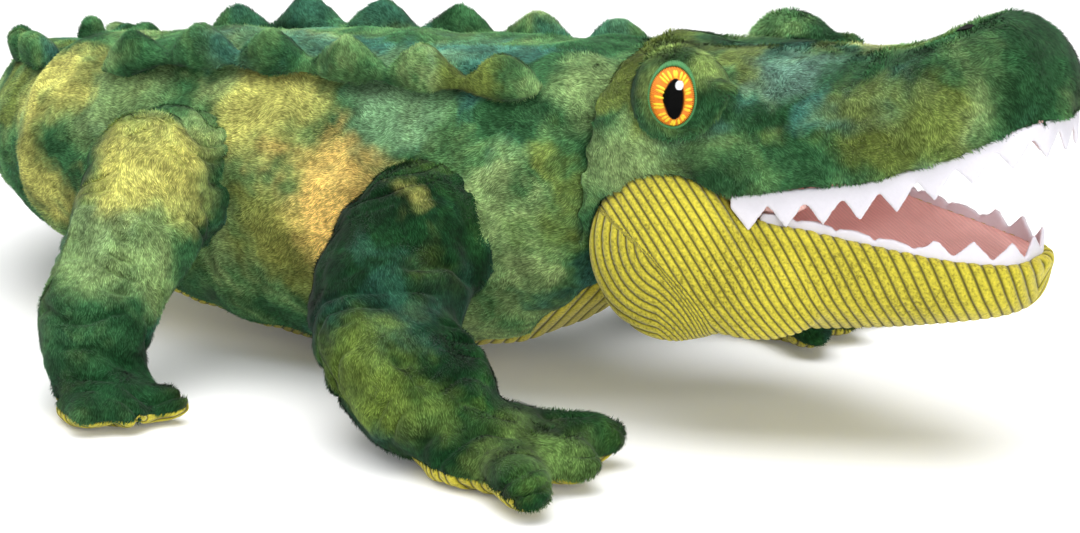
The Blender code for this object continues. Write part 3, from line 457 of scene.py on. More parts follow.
def pile(name, skin, density, length, comb, seed, bare=None):
    """Short blades of pile grown over a skin and laid along comb, with none where bare is 1."""
    form = bmesh.new()
    tip = form.verts.layers.float.new("tip")
    corners = [form.verts.new(co) for co in ((-0.5, 0, 0), (0.5, 0, 0), (0, 0, 1))]
    corners[2][tip] = 1
    form.faces.new(corners)
    blade_mesh = bpy.data.meshes.new("pile_blade")
    form.to_mesh(blade_mesh)
    form.free()
    blade = bpy.data.objects.new("pile_blade", blade_mesh)
    made = placed(skin.data.copy(), name)
    thin = np.zeros(len(made.data.vertices)) if bare is None else bare
    made.data.attributes.new("bare", "FLOAT", "POINT").data.foreach_set("value", thin)
    tree = bpy.data.node_groups.new(name, "GeometryNodeTree")
    tree.interface.new_socket("Geometry", in_out="INPUT", socket_type="NodeSocketGeometry")
    tree.interface.new_socket("Geometry", in_out="OUTPUT", socket_type="NodeSocketGeometry")
    wire = Wire(tree)
    base = wire.node("NodeGroupInput", output="Geometry")
    bared = wire.node("GeometryNodeInputNamedAttribute", {}, {"Name": "bare"}, "Attribute")
    inputs = {"Mesh": base, "Density": (1 - bared) * density, "Seed": seed}
    roots = wire.node("GeometryNodeDistributePointsOnFaces", {}, inputs, "Points")
    normal = Wire(tree, roots.socket.node.outputs["Normal"])
    place = wire.node("GeometryNodeInputPosition")
    inputs = {"Vector": place, "Scale": 70.0, "Detail": 2.0}
    swirl = wire.node("ShaderNodeTexNoise", {}, inputs, "Color")
    swirl = wire.aim("MULTIPLY_ADD", swirl, (PILE_SWIRL * 2,) * 3, (-PILE_SWIRL,) * 3)
    limits = {0: (-PILE_STRAY,) * 3, 1: (PILE_STRAY,) * 3, "Seed": seed + 1}
    stray = wire.node("FunctionNodeRandomValue", {"data_type": "FLOAT_VECTOR"}, limits)
    lay = wire.aim("ADD", wire.aim("ADD", swirl, stray), comb)
    rise = wire.aim("DOT_PRODUCT", lay, normal, output="Value")
    inputs = {0: normal, "Scale": PILE_RISE - rise}
    rise = wire.node("ShaderNodeVectorMath", {"operation": "SCALE"}, inputs)
    lean = wire.aim("ADD", lay, rise)
    turn = wire.node("FunctionNodeAlignRotationToVector", {"axis": "Z"}, {"Vector": lean})
    settings, inputs = {"axis": "Y", "pivot_axis": "Z"}, {"Rotation": turn, "Vector": normal}
    turn = wire.node("FunctionNodeAlignRotationToVector", settings, inputs)
    uneven = {2: 0.65, 3: 1.15, "Seed": seed + 2}
    uneven = wire.node("FunctionNodeRandomValue", {"data_type": "FLOAT"}, uneven, 1)
    size = {"X": length * PILE_SLENDER, "Y": 1.0, "Z": uneven * length}
    size = wire.node("ShaderNodeCombineXYZ", {}, size)
    source = wire.node("GeometryNodeObjectInfo", {}, {"Object": blade}, "Geometry")
    inputs = {"Points": roots, "Instance": source, "Rotation": turn, "Scale": size}
    grown = wire.node("GeometryNodeInstanceOnPoints", {}, inputs)
    tone = wire.node("FunctionNodeRandomValue", {"data_type": "FLOAT"}, {"Seed": seed + 3}, 1)
    settings = {"data_type": "FLOAT", "domain": "INSTANCE"}
    inputs = {"Geometry": grown, "Name": "tone", "Value": tone}
    grown = wire.node("GeometryNodeStoreNamedAttribute", settings, inputs)
    grown = wire.node("GeometryNodeRealizeInstances", {}, {"Geometry": grown})
    wire.node("NodeGroupOutput", {}, {"Geometry": grown})
    growth = made.modifiers.new("growth", "NODES")
    growth.node_group = tree
    settle(made)
    count = len(made.data.polygons)
    row = math.ceil(math.sqrt(count))
    cell = np.repeat(np.arange(count), 3)
    corner = np.tile([[0.15, 0.15], [0.85, 0.15], [0.5, 0.85]], (count, 1))
    spot = (np.stack([cell % row, cell // row], 1) + corner) / row
    chart = made.data.uv_layers.new(name="OFBake")
    chart.uv.foreach_set("vector", spot.astype(np.float32).ravel())
    bpy.data.objects.remove(blade)
    return made


DYE_DARK, DYE_DEEP, DYE_MID = shade("2B5633"), shade("44764A"), shade("66925A")
DYE_LIGHT, DYE_TEAL, DYE_OLIVE = shade("A3BF7C"), shade("4C857B"), shade("8A9542")
DYE_GOLD, DYE_LEMON = shade("FBD67A"), shade("D6D274")


def dyed(wire, stains, tones=(DYE_DARK, DYE_DEEP, DYE_MID, DYE_LIGHT), seed=0.0, drifts=0.7):
    """The tie-dye: cloudy greens, with teal and olive drifts and the given stains."""
    place = wire.node("ShaderNodeTexCoord", output="Object")
    inputs = {"Vector": place, "Scale": 30.0, "Detail": 3.0, "Roughness": 0.6}
    drift = wire.node("ShaderNodeTexNoise", {}, inputs, "Color")
    drift = wire.aim("MULTIPLY_ADD", drift, (0.06, 0.06, 0.06), (-0.03, -0.03, -0.03))
    here = wire.aim("ADD", place, drift)
    moved = wire.aim("ADD", here, (seed, seed, seed))
    inputs = {"Vector": moved, "Scale": 26.0, "Detail": 3.0}
    cloud = wire.node("ShaderNodeTexNoise", {}, inputs, "Fac")
    stops = list(zip((0.34, 0.46, 0.56, 0.69), tones))
    colour = wire.node("ShaderNodeValToRGB", {"stops": stops}, {"Fac": cloud})
    for offset, tint, low in ((3.1, DYE_TEAL, 0.56), (7.7, DYE_OLIVE, 0.58)):
        moved = wire.aim("ADD", here, (seed + offset, seed, offset))
        cloud = wire.node("ShaderNodeTexNoise", {}, {"Vector": moved, "Scale": 17.0}, "Fac")
        colour = wire.blend(wire.slope(cloud, low, low + 0.12, 0, drifts), colour, (*tint, 1))
    for centre, radius, tint, strength in stains:
        gap = wire.aim("DISTANCE", here, centre, output="Value")
        share = wire.slope(gap, radius * 0.35, radius, strength, 0)
        colour = wire.blend(share, colour, (*tint, 1))
    broad = {"Vector": place, "Scale": 95.0, "Detail": 3.0}
    fine = {"Vector": place, "Scale": 520.0, "Detail": 2.0}
    blotch = wire.node("ShaderNodeTexNoise", {}, broad, "Fac")
    fleck = wire.node("ShaderNodeTexNoise", {}, fine, "Fac")
    worn = wire.slope(blotch, 0.32, 0.68, 0.68, 1.20) * wire.slope(fleck, 0.30, 0.70, 0.70, 1.26)
    return wire.aim("MULTIPLY", colour, worn.grey())


def finished(shader, colour, roughness, specular, sheen=0.0, relief=None):
    """Gives a cloth its colour, its finish and its relief, from (height, strength, distance)."""
    links = colour.tree.links
    links.new(colour.socket, shader.inputs["Base Color"])
    shader.inputs["Roughness"].default_value = roughness
    shader.inputs["Specular IOR Level"].default_value = specular
    shader.inputs["Sheen Weight"].default_value = sheen
    if relief:
        inputs = dict(zip(("Height", "Strength", "Distance"), relief))
        bump = colour.node("ShaderNodeBump", {}, inputs)
        links.new(bump.socket, shader.inputs["Normal"])


def plush(name, stains, **options):
    """Two materials with one dye: the backing cloth, darkened with painted shade, and the pile,
    with painted shade at its roots and painted light towards its tips.
    """
    made = []
    for kind in ("backing", "pile"):
        material, shader, wire = surface(f"{name}_{kind}")
        colour = dyed(wire, stains, **options)
        if kind == "backing":
            # Painted shade: the backing between the blades is darkened as if the pile shaded it.
            colour = wire.blend(0.55, colour, (0.22, 0.30, 0.20, 1), "MULTIPLY")
        else:
            # Painted shade and light: each blade darkens towards its root and lightens towards its
            # tip; tone varies the blades at random.
            tip = wire.node("ShaderNodeAttribute", {"attribute_name": "tip"}, {}, "Fac")
            tone = wire.node("ShaderNodeAttribute", {"attribute_name": "tone"}, {}, "Fac")
            glow = wire.slope(tip, 0, 1, 0.50, 1.30) * (tone * 0.5 + 0.80)
            colour = wire.aim("MULTIPLY", colour, glow.grey())
        finished(shader, colour, 0.85, 0.05, 0.10)
        shader.inputs["Sheen Roughness"].default_value = 0.45
        made.append(material)
    return made


def clad(piece, material):
    """Gives a piece its one material."""
    piece.data.materials.clear()
    piece.data.materials.append(material)
    piece.data.shade_smooth()
    return piece


torso_nodes = ["body_cover", "body_filling", "belly_panel"]
tail_nodes = ["tail_base_cover", "tail_base_filling", "tail_tip_cover", "tail_tip_filling"]
shoulder_pads = [
    ((0.033, MIDLINE, 0.060), (0.036, 0.070, 0.036)),
    ((-0.073, MIDLINE, 0.066), (0.036, 0.068, 0.036)),
]
torso_skin = stuffed("torso_skin", torso_nodes + tail_nodes, SKIN_WEAVE, 8, shoulder_pads)
inflate(torso_skin, pressure=1.2, spare=0.03, cap=0.003)
refine(torso_skin)
dents(torso_skin, size=0.030, depth=0.0026, stretch=(1.6, 1.0, 0.5))
dents(torso_skin, size=0.011, depth=0.0005, stretch=(1.0, 1.0, 0.6), seed=5.0)
crease(torso_skin, FLANK_SEAM, depth=0.0012, width=0.003)
covers = ("body_cover", "tail_base_cover", "tail_tip_cover")
belly_cord = parted(torso_skin, "belly_cord", "belly_panel", covers)
tail_skin = placed(torso_skin.data.copy(), "tail_skin")
# Body and tail part at a straight cut. Each is turned in a little way there, but pile grows on its
# outside only.
uncapped = {}
for owner, side in ((torso_skin, False), (tail_skin, True)):
    form = bmesh.new()
    form.from_mesh(owner.data)
    bmesh.ops.bisect_plane(
        form,
        geom=form.verts[:] + form.edges[:] + form.faces[:],
        plane_co=TAIL_CUT,
        plane_no=TAIL_LINE,
        clear_inner=side,
        clear_outer=not side,
    )
    cut_edges = [
        e for e in form.edges
        if e.is_boundary and all(abs((v.co - TAIL_CUT).dot(TAIL_LINE)) < 1e-5 for v in e.verts)
    ]
    form.normal_update()
    grounds = bpy.data.meshes.new(owner.name)
    form.to_mesh(grounds)
    uncapped[owner] = bpy.data.objects.new(owner.name, grounds)
    for edge in cut_edges:
        edge.smooth = False
    grown = bmesh.ops.extrude_edge_only(form, edges=cut_edges)["geom"]
    for vert in (g for g in grown if isinstance(g, bmesh.types.BMVert)):
        vert.co = vert.co.lerp(TAIL_CUT, 0.1)
    form.to_mesh(owner.data)
    form.free()

# Each stain of dye: its middle, its radius, its colour and its strength.
TORSO_STAINS = [
    ((-0.004, -0.079, 0.066), 0.036, DYE_GOLD, 1.0),
    ((-0.016, -0.078, 0.082), 0.026, DYE_GOLD, 1.0),
    ((-0.046, -0.062, 0.096), 0.034, DYE_LEMON, 0.90),
    ((-0.030, -0.081, 0.046), 0.030, shade("A3A552"), 0.85),
    ((0.088, -0.071, 0.060), 0.024, DYE_OLIVE, 0.65),
    ((0.022, -0.077, 0.092), 0.022, DYE_TEAL, 0.90),
    ((0.055, -0.070, 0.098), 0.022, DYE_TEAL, 0.65),
    ((0.085, -0.045, 0.118), 0.024, DYE_LIGHT, 0.75),
    ((0.010, -0.050, 0.106), 0.032, shade("93BF8E"), 0.70),
    ((-0.115, -0.045, 0.090), 0.028, DYE_LIGHT, 0.65),
    ((-0.150, -0.036, 0.082), 0.028, DYE_LEMON, 0.95),
    ((-0.148, -0.040, 0.056), 0.026, DYE_LEMON, 0.90),
    ((-0.225, 0.030, 0.065), 0.034, DYE_LIGHT, 0.85),
]
torso_plush = plush("torso_plush", TORSO_STAINS)
for piece, bodies, bend, seed, nodes in (
    (torso_skin, ("body", "tail_base"), TAIL_ROOT_BEND, 3, torso_nodes[:2] + tail_nodes[:2]),
    (tail_skin, ("tail_base", "tail_tip"), TAIL_TIP_BEND, 5, tail_nodes[2:]),
):
    clad(piece, torso_plush[0])
    comb = (-1.0, 0.1, -0.45)
    fur = pile(f"{piece.name}_pile", uncapped[piece], TORSO_BLADES, PILE_LENGTH, comb, seed)
    clad(fur, torso_plush[1])
    for part in (piece, fur):
        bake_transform(part)
    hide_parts(*nodes)

# Belly
# A long panel of wide-wale corduroy let in under the torso.
WALE_PITCH = 0.0033
CORD_YELLOW, CORD_GROOVE_GROUND_AND_SHADE = shade("C4B83A"), shade("666016")


def corded(piece, field, depth=0.0006):
    """Raises the wales of corduroy: field gives each point's distance across them."""
    across = field(points(piece)) / WALE_PITCH
    place = np.abs(across - np.floor(across) - 0.5) * 2
    rise = np.sqrt(np.clip(1 - place**2.6, 0, 1))
    shift(piece, normals(piece) * ((rise - 0.7) * depth)[:, None])
    piece.data.attributes.new("across", "FLOAT", "POINT").data.foreach_set("value", across)


def corduroy(name):
    """Corduroy: flecked short wales with grooves between them painted dark, partly the woven
    ground's colour and partly painted shade fading in across each wale.
    """
    material, shader, wire = surface(name)
    place = wire.node("ShaderNodeTexCoord", output="Object")
    across = wire.node("ShaderNodeAttribute", {"attribute_name": "across"}, {}, "Fac")
    edge = wire.sum("ABSOLUTE", wire.sum("FRACT", across) - 0.5) * 2
    fine = {"Vector": place, "Scale": 1100.0, "Detail": 2.0}
    broad = {"Vector": place, "Scale": 40.0, "Detail": 2.0}
    fleck = wire.node("ShaderNodeTexNoise", {}, fine, "Fac")
    worn = wire.node("ShaderNodeTexNoise", {}, broad, "Fac")
    stops = (
        (0.32, tuple(x * 0.45 for x in CORD_YELLOW)),
        (0.46, tuple(x * 0.92 for x in CORD_YELLOW)),
        (0.66, tuple(min(1, x * 1.30) for x in CORD_YELLOW)),
    )
    colour = wire.node("ShaderNodeValToRGB", {"stops": stops}, {"Fac": fleck * 0.7 + worn * 0.3})
    ridge = wire.sum("SQRT", wire.sum("MAXIMUM", 1 - wire.sum("POWER", edge, 2.4), 0.0))
    # Partly painted shade: the colour darkens from halfway across each wale into the groove; the
    # rest is the woven ground's own colour.
    dark = wire.slope(edge + (fleck - 0.5) * 0.30, 0.52, 1.02)
    colour = wire.blend(dark, colour, (*CORD_GROOVE_GROUND_AND_SHADE, 1))
    finished(shader, colour, 0.85, 0.15, 0.2, (ridge + fleck * 0.45, 0.9, 0.0009))
    return material


yellow_cord = corduroy("yellow_cord")
refine(belly_cord)
corded(belly_cord, lambda p: p[:, 0] * 0.72 + p[:, 1] * 0.35 - p[:, 2] * 0.55)
clad(belly_cord, yellow_cord)
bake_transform(belly_cord)
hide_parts("belly_panel")

# Legs and soles
# Four stuffed plush legs, sewn round the flank holes, each with a corduroy sole under its toes.
# Each leg's side, its hub along and above the body's middle, and the radius of its round top.
SOLE_EDGE = 0.0035
LEG_WEAVE = 0.0024
LEGS = {
    "front_right": (-1, 0.0333, 0.060, 0.026),
    "front_left": (1, 0.0333, 0.060, 0.026),
    "rear_right": (-1, -0.0727, 0.066, 0.027),
    "rear_left": (1, -0.0727, 0.066, 0.027),
}
FRONT_STAINS = [
    ((0.048, -0.088, 0.085), 0.015, DYE_LEMON, 0.70),
    ((0.053, -0.131, 0.032), 0.030, shade("7D9440"), 0.85),
    ((0.060, -0.150, 0.016), 0.028, shade("7C9F55"), 0.75),
    ((0.118, -0.118, 0.014), 0.032, shade("7C9F55"), 0.75),
]
REAR_STAINS = [
    ((-0.060, -0.094, 0.088), 0.036, DYE_LEMON, 1.0),
    ((-0.050, -0.090, 0.096), 0.016, DYE_GOLD, 0.60),
    ((-0.068, -0.111, 0.052), 0.026, DYE_LIGHT, 0.75),
    ((-0.046, -0.125, 0.012), 0.034, shade("1F4A2A"), 0.95),
    ((-0.042, -0.106, 0.062), 0.016, DYE_DEEP, 0.70),
]
FRONT_TONES = (shade("12301B"), shade("1B4323"), shade("29542A"), shade("527435"))
leg_plush = {
    "front": plush("front_leg_plush", FRONT_STAINS, tones=FRONT_TONES, seed=4.0, drifts=0.25),
    "rear": plush("rear_leg_plush", REAR_STAINS, seed=9.0),
}


def foot_edge(vert):
    """The sole's cloth comes a little way up the edge of the foot, but never on its top."""
    return SOLE_EDGE if vert.normal.z < 0.35 else 0.0


for count, (leg, (side, hub_x, hub_z, radius)) in enumerate(LEGS.items()):
    end = leg.split("_")[0]
    pad = ((hub_x, MIDLINE + side * 0.069, hub_z + 0.001), (radius - 0.002, 0.019, radius - 0.002))
    nodes = [f"{leg}_leg_cover", f"{leg}_leg_filling", f"{leg}_sole"]
    leg_skin = stuffed(f"{leg}_leg_skin", nodes, LEG_WEAVE, 9, [pad])
    inflate(leg_skin, pressure=1.0, spare=0.05, cap=0.0025)
    refine(leg_skin)
    hub = Vector((hub_x, MIDLINE + side * 0.066, hub_z))
    dents(leg_skin, size=0.014, depth=0.0014, stretch=(0.8, 0.8, 1.3), seed=count * 3.0)
    middle = points(leg_skin).mean(0)
    rings(leg_skin, hub, middle, pitch=0.0090, depth=0.0024, seed=count * 7.0)
    sole = parted(leg_skin, f"{leg}_sole_cord", nodes[2], nodes[:1], 0.0005, 0.0015, foot_edge)
    refine(sole)
    corded(sole, lambda p: p[:, 0] * 0.8 + p[:, 1] * 0.6 * side, depth=0.0004)
    clad(leg_skin, leg_plush[end][0])
    clad(sole, yellow_cord)
    comb = (0.35, side * 0.4, -1.0)
    fur = pile(f"{leg}_leg_pile", leg_skin, LIMB_BLADES, PILE_LENGTH, comb, 20 + count)
    clad(fur, leg_plush[end][1])
    for part in (leg_skin, sole, fur):
        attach(part, f"{leg}_leg")
    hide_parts(*nodes[:2])
    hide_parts(nodes[2])

# Neck wad
# A ball of stuffed plush inside the neck, which the head turns and nods on.
neck_wad = stuffed("neck_wad", ["neck_filling"], 0.0015, 3, inset=0.0)
# The wad wears the backing material without pile, and so shows that material's painted shade.
clad(neck_wad, torso_plush[0])
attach(neck_wad, "neck")
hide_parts("neck_filling")

# Head and palate
# The head is cut in one with the snout, whose top panel is seamed on; the mouth roof is lined.
HEAD_WEAVE = 0.0022
LIP_ROLL = 0.0037
MOUTH_HEART = Vector((0.170, MIDLINE))
SNOUT_SEAM = (
    (0.138, 0.040, 0.100), (0.160, 0.036, 0.112), (0.185, 0.034, 0.116), (0.206, 0.034, 0.120),
    (0.224, 0.026, 0.124),
)
EYE_SEAM = ((0.108, 0.052, 0.098), (0.118, 0.052, 0.094), (0.126, 0.050, 0.090))


def lip(node, side):
    """Rolls of filling along the seam that catches a band of teeth, which the skin closes over."""
    place = points(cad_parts[node])
    back, middle = place[:, 0].min(), place[:, 1].mean()
    turn = np.arctan2(place[:, 1] - middle, place[:, 0] - back)
    roots = []
    for bearing in np.radians(np.arange(-88, 89, 4)):
        near = place[np.abs(turn - bearing) < math.radians(3)]
        if len(near):
            roots.append(near[np.argmax(near[:, 2] * side)] + (0, 0, side * LIP_ROLL * 0.2))
    spots = []
    for a, b in zip(roots, roots[1:]):
        count = max(1, int(np.linalg.norm(b - a) / 0.0025))
        spots += [a + (b - a) * k / count for k in range(count)]
    return [(Vector(spot), (LIP_ROLL,) * 3) for spot in spots]


def behind_teeth(node, facing):
    """The lining reaches up to the inner side of a band of teeth, and never past it."""
    band = solid_tree(node)

    def lean(vert):
        spot = band.find_nearest(vert.co)[0]
        if (vert.co.xy - MOUTH_HEART).length > (spot.xy - MOUTH_HEART).length:
            return -1.0
        return 0.003 if vert.normal.z * facing > 0.2 else 0.0

    return lean


head_nodes = ["head_cover", "snout_cover", "head_filling", "palate_lining"]
head_skin = stuffed("head_skin", head_nodes, HEAD_WEAVE, 6, lip("upper_teeth", 1))
inflate(head_skin, pressure=1.0, spare=0.02, cap=0.002)
refine(head_skin)
dents(head_skin, size=0.018, depth=0.0012, stretch=(0.7, 1, 1), seed=2.0)
for path, depth, width in ((SNOUT_SEAM, 0.0014, 0.0028), (EYE_SEAM, 0.0012, 0.0025)):
    for side in (-1, 1):
        crease(head_skin, [(x, MIDLINE + side * out, z) for x, out, z in path], depth, width)
inner_side = behind_teeth("upper_teeth", -1)
covers = ("head_cover", "snout_cover")
palate = parted(head_skin, "palate", "palate_lining", covers, width=0.002, lean=inner_side)
HEAD_STAINS = [
    ((0.150, -0.036, 0.118), 0.020, shade("7BA593"), 0.90),
    ((0.166, -0.005, 0.124), 0.016, shade("B4B878"), 0.85),
    ((0.194, -0.046, 0.112), 0.026, DYE_OLIVE, 0.70),
    ((0.158, -0.056, 0.103), 0.014, DYE_DEEP, 0.70),
    ((0.226, -0.021, 0.127), 0.034, DYE_DARK, 0.95),
    ((0.110, -0.061, 0.102), 0.024, DYE_LIGHT, 0.80),
    ((0.098, -0.058, 0.088), 0.020, DYE_LIGHT, 0.60),
    ((0.133, -0.061, 0.101), 0.016, DYE_MID, 0.80),
]
head_plush = plush("head_plush", HEAD_STAINS, seed=15.0)
clad(head_skin, head_plush[0])
head_fur = pile("head_pile", head_skin, LIMB_BLADES, PILE_LENGTH, (0.8, 0.0, -0.6), 31)
clad(head_fur, head_plush[1])


def twill(name, tint):
    """Fine pink twill: slanting ribs, a little darker between them."""
    material, shader, wire = surface(name)
    place = wire.node("ShaderNodeTexCoord", output="Object")
    inputs = {"Vector": place, "Scale": 330.0, "Distortion": 0.6, "Detail": 1.0}
    inputs["Detail Scale"] = 3.0
    lines = wire.node("ShaderNodeTexWave", {"bands_direction": "DIAGONAL"}, inputs, "Fac")
    cloud = wire.node("ShaderNodeTexNoise", {}, {"Vector": place, "Scale": 60.0}, "Fac")
    colour = wire.blend(lines * 0.5 + cloud * 0.8, (*(x * 0.80 for x in tint), 1), (*tint, 1))
    finished(shader, colour, 0.8, 0.2, 0.15, (lines, 0.5, 0.0003))
    return material


pink_twill = twill("pink_twill", shade("FFCFC8"))
clad(palate, pink_twill)
for part in (head_skin, head_fur, palate):
    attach(part, "head")
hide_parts("head_cover", "snout_cover", "head_filling")
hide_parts("palate_lining")

# Jaw and mouth floor
# Jaw and cheeks are one corduroy pouch, the wales laid slanting, with a dart at the cheek;
# the floor of the mouth is the same pink twill as its roof.
JAW_WEAVE = 0.0016
HINGE = Vector((0.117276, MIDLINE, 0.063))
jaw_pads = [(HINGE + Vector((0, s * 0.0400, 0)), (0.0290, 0.0140, 0.0290)) for s in (-1, 1)]
jaw_pads += [(HINGE + Vector((0.024, s * 0.034, -0.009)), (0.030, 0.013, 0.017)) for s in (-1, 1)]
jaw_pads += lip("lower_teeth", -1)
jaw_nodes = ["jaw_cover", "jaw_filling", "mouth_floor"]
jaw_cord = stuffed("jaw_cord", jaw_nodes, JAW_WEAVE, 7, jaw_pads, inset=0.0004)
inflate(jaw_cord, pressure=0.8, spare=0.01, cap=0.0015)
refine(jaw_cord)
inner_side = behind_teeth("lower_teeth", 1)
mouth_floor = parted(
    jaw_cord, "mouth_floor_twill", "mouth_floor", ("jaw_cover",), 0.0006, 0.002, inner_side
)


def jaw_wales(place):
    """Distance across the wales: slanting along the jaw, fanned on the cheek, broken at the dart.

    The two fields count wales over a flat view of the pouch from its side, along and below."""
    x, out, z = place[:, 0] - HINGE.x, np.abs(place[:, 1] - HINGE.y), place[:, 2] - HINGE.z
    along = 28.76 * x - 14.47 * out + 0.83 * z - 0.14
    below = 4.30 * x + 7.06 * out - 31.07 * z - 0.24
    fanned = 4.02 + 7.74 * along - 4.51 * below + 0.74 * along * below - 0.26 * along**2
    rim = -1.35 - np.hypot(along + 0.60, below + 0.10) * 9.5
    under = below - 0.91 * along - 0.88
    reach = np.clip(under / (0.02 + 0.5 * np.clip(along + 0.92, 0, 1)), 0, 1)
    share = reach * np.clip((-0.30 - along) / 0.55, 0, 1)
    turned_under = 5.0 * np.clip(below - 0.42, 0, 1) ** 2
    return ((fanned * (1 - share) + rim * share) * 1.2 - turned_under) * WALE_PITCH


corded(jaw_cord, jaw_wales, depth=0.0008)
clad(jaw_cord, yellow_cord)
clad(mouth_floor, pink_twill)
for part in (jaw_cord, mouth_floor):
    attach(part, "jaw")
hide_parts("jaw_cover", "jaw_filling")
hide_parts("mouth_floor")

# Mouth corners
# The twill lining runs on from the roof to the floor of the mouth at its back and its corners.
# It is one loose roll with a short arm at each corner.
throat_pads = [((0.1395, MIDLINE, 0.0815), (0.0130, 0.0385, 0.0130))]
throat_pads += [((0.149, MIDLINE + s * 0.0330, 0.0850), (0.0150, 0.0038, 0.0062)) for s in (-1, 1)]
throat = stuffed("mouth_corner_lining", [], 0.0015, 4, throat_pads, inset=0.0)
refine(throat)
dents(throat, size=0.012, depth=0.0016, stretch=(0.7, 0.5, 1.6), seed=3.0)
clad(throat, pink_twill)
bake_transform(throat)

# Teeth
# Saw-toothed bands of thick white felt, caught in the lip seams above and below. The lower one
# has points round the front of the jaw only.


def felt(name, tint):
    """Pressed wool felt: matt and faintly cloudy, with a fine matted grain."""
    material, shader, wire = surface(name)
    place = wire.node("ShaderNodeTexCoord", output="Object")
    inputs = {"Vector": place, "Scale": 900.0, "Detail": 4.0}
    grain = wire.node("ShaderNodeTexNoise", {}, inputs, "Fac")
    cloud = wire.node("ShaderNodeTexNoise", {}, {"Vector": place, "Scale": 90.0}, "Fac")
    colour = wire.blend(grain * 0.5 + cloud * 0.5, (*(x * 0.86 for x in tint), 1), (*tint, 1))
    finished(shader, colour, 0.95, 0.1, 0.15, (grain, 0.35, 0.0003))
    return material


def plain_behind(band, end=0.204, height=0.0042):
    """Lowers the points of a band to a plain strip over its seam, behind a place on the jaw."""
    place = points(band)
    slots = np.round((place[:, 0] - place[:, 0].min()) / 0.004).astype(int)
    low = [(place[slots == k, 0].mean(), place[slots == k, 2].min()) for k in np.unique(slots)]
    seam = np.polyval(np.polyfit(*np.array(low).T, 3), place[:, 0])
    plain = np.clip((end - place[:, 0]) / 0.006, 0, 1)
    over = np.maximum(place[:, 2] - seam - height, 0)
    shift(band, np.stack([0 * over, 0 * over, -0.85 * plain * over], 1))


white_felt = felt("white_felt", shade("E7E4EC"))
for node, body in (("upper_teeth", "head"), ("lower_teeth", "jaw")):
    band = stuffed(f"{node}_felt", [node], 0.0007, 4, inset=-0.0001)
    if body == "jaw":
        plain_behind(band)
    clad(band, white_felt)
    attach(band, body)
    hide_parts(node)

# Back and tail points
# Scalloped rows of lightly stuffed plush points stand along the back and down the tail.
POINT_BLADES, POINT_PILE_LENGTH = 3.4e6, 0.0018
PINCH_SLOT, PINCH_REACH = 0.0015, 10
POINT_STAINS = [
    ((-0.145, -0.020, 0.100), 0.020, DYE_TEAL, 0.8),
    ((-0.180, 0.000, 0.100), 0.020, DYE_LIGHT, 0.7),
    ((-0.060, -0.045, 0.115), 0.022, DYE_TEAL, 0.6),
    ((0.040, -0.045, 0.115), 0.024, DYE_OLIVE, 0.7),
]
point_plush = plush("point_plush", POINT_STAINS, seed=22.0, drifts=0.4)


def puffed(row, swell=0.0013):
    """Swells a row at each point and pinches it in between them."""
    place = points(row)
    flat = place[:, :2] - place[:, :2].mean(0)
    run = flat @ np.linalg.svd(flat, full_matrices=False)[2][0]
    slots = np.round((run - run.min()) / PINCH_SLOT).astype(int)
    span = range(slots.max() + 1)
    top = np.array([place[slots == k, 2].max() if (slots == k).any() else 0 for k in span])
    low = np.array([place[slots == k, 2].min() if (slots == k).any() else 0 for k in span])
    high = top - low
    around = [high[max(0, k - PINCH_REACH) : k + PINCH_REACH + 1] for k in span]
    crest = np.array([near.max() for near in around])
    dip = np.array([near.min() for near in around])
    peak = np.clip((high - dip) / np.maximum(crest - dip, 0.001), 0, 1)
    peak = np.convolve(np.pad(peak, 2, mode="edge"), np.ones(5) / 5, "valid")[slots]
    moves = normals(row) * (swell * (2 * peak - 1))[:, None]
    moves[:, 2] += (place[:, 2] - low[slots]) * (0.34 * peak - 0.28)
    shift(row, moves)


for count, (node, body) in enumerate((
    ("back_points_left", "body"),
    ("back_points_right", "body"),
    ("tail_points_left", "tail_base"),
    ("tail_points_right", "tail_base"),
    ("tail_tip_points", "tail_tip"),
)):
    row = stuffed(f"{node}_skin", [node], 0.0013, 2, inset=-0.0002)
    puffed(row)
    inflate(row, pressure=1.5, spare=0.03, cap=0.0015)
    refine(row)
    clad(row, point_plush[0])
    fur = pile(f"{node}_pile", row, POINT_BLADES, POINT_PILE_LENGTH, (-0.6, 0.0, 0.8), 50 + count)
    clad(fur, point_plush[1])
    for part in (row, fur):
        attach(part, body)
    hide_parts(node)

# Brows and eyes
# Each eye is embroidered on a stuffed plush brow: satin stitches fan round a slit pupil.
EYE_HALF = (0.0078, 0.0095)
PUPIL_HALF = (0.0034, 0.0062)
PUPIL_PLACE = Vector((0.0012, -0.0004))
EYE_TURN = math.radians(14)
EYE_RIM = 0.001
BROW_BLADES = 3.0e6
THREAD_LIFT = 0.0013
BROW_STAINS = [
    ((0.125, -0.0475, 0.128), 0.020, shade("9DB463"), 0.8),
    ((0.108, -0.052, 0.108), 0.016, DYE_DEEP, 0.7),
]
brow_plush = plush("brow_plush", BROW_STAINS, seed=27.0)


def thread(name, tint, gloss=0.35):
    """Shiny embroidery thread, with a little variation from stitch to stitch."""
    material, shader, wire = surface(name)
    place = wire.node("ShaderNodeTexCoord", output="Object")
    inputs = {"Vector": place, "Scale": 1400.0, "Detail": 1.0}
    twist = wire.node("ShaderNodeTexNoise", {}, inputs, "Fac")
    colour = wire.blend(twist, (*(x * 0.7 for x in tint), 1), (*(min(1, x * 1.2) for x in tint), 1))
    finished(shader, colour, 0.45, gloss)
    return material


orange_thread = thread("orange_thread", shade("F08A1E"))
yellow_thread = thread("yellow_thread", shade("FFD02E"))
black_thread = thread("black_thread", shade("050505"), 0.05)
white_thread = thread("white_thread", shade("F2F1FA"))
green_thread = thread("green_thread", shade("4A8A50"))


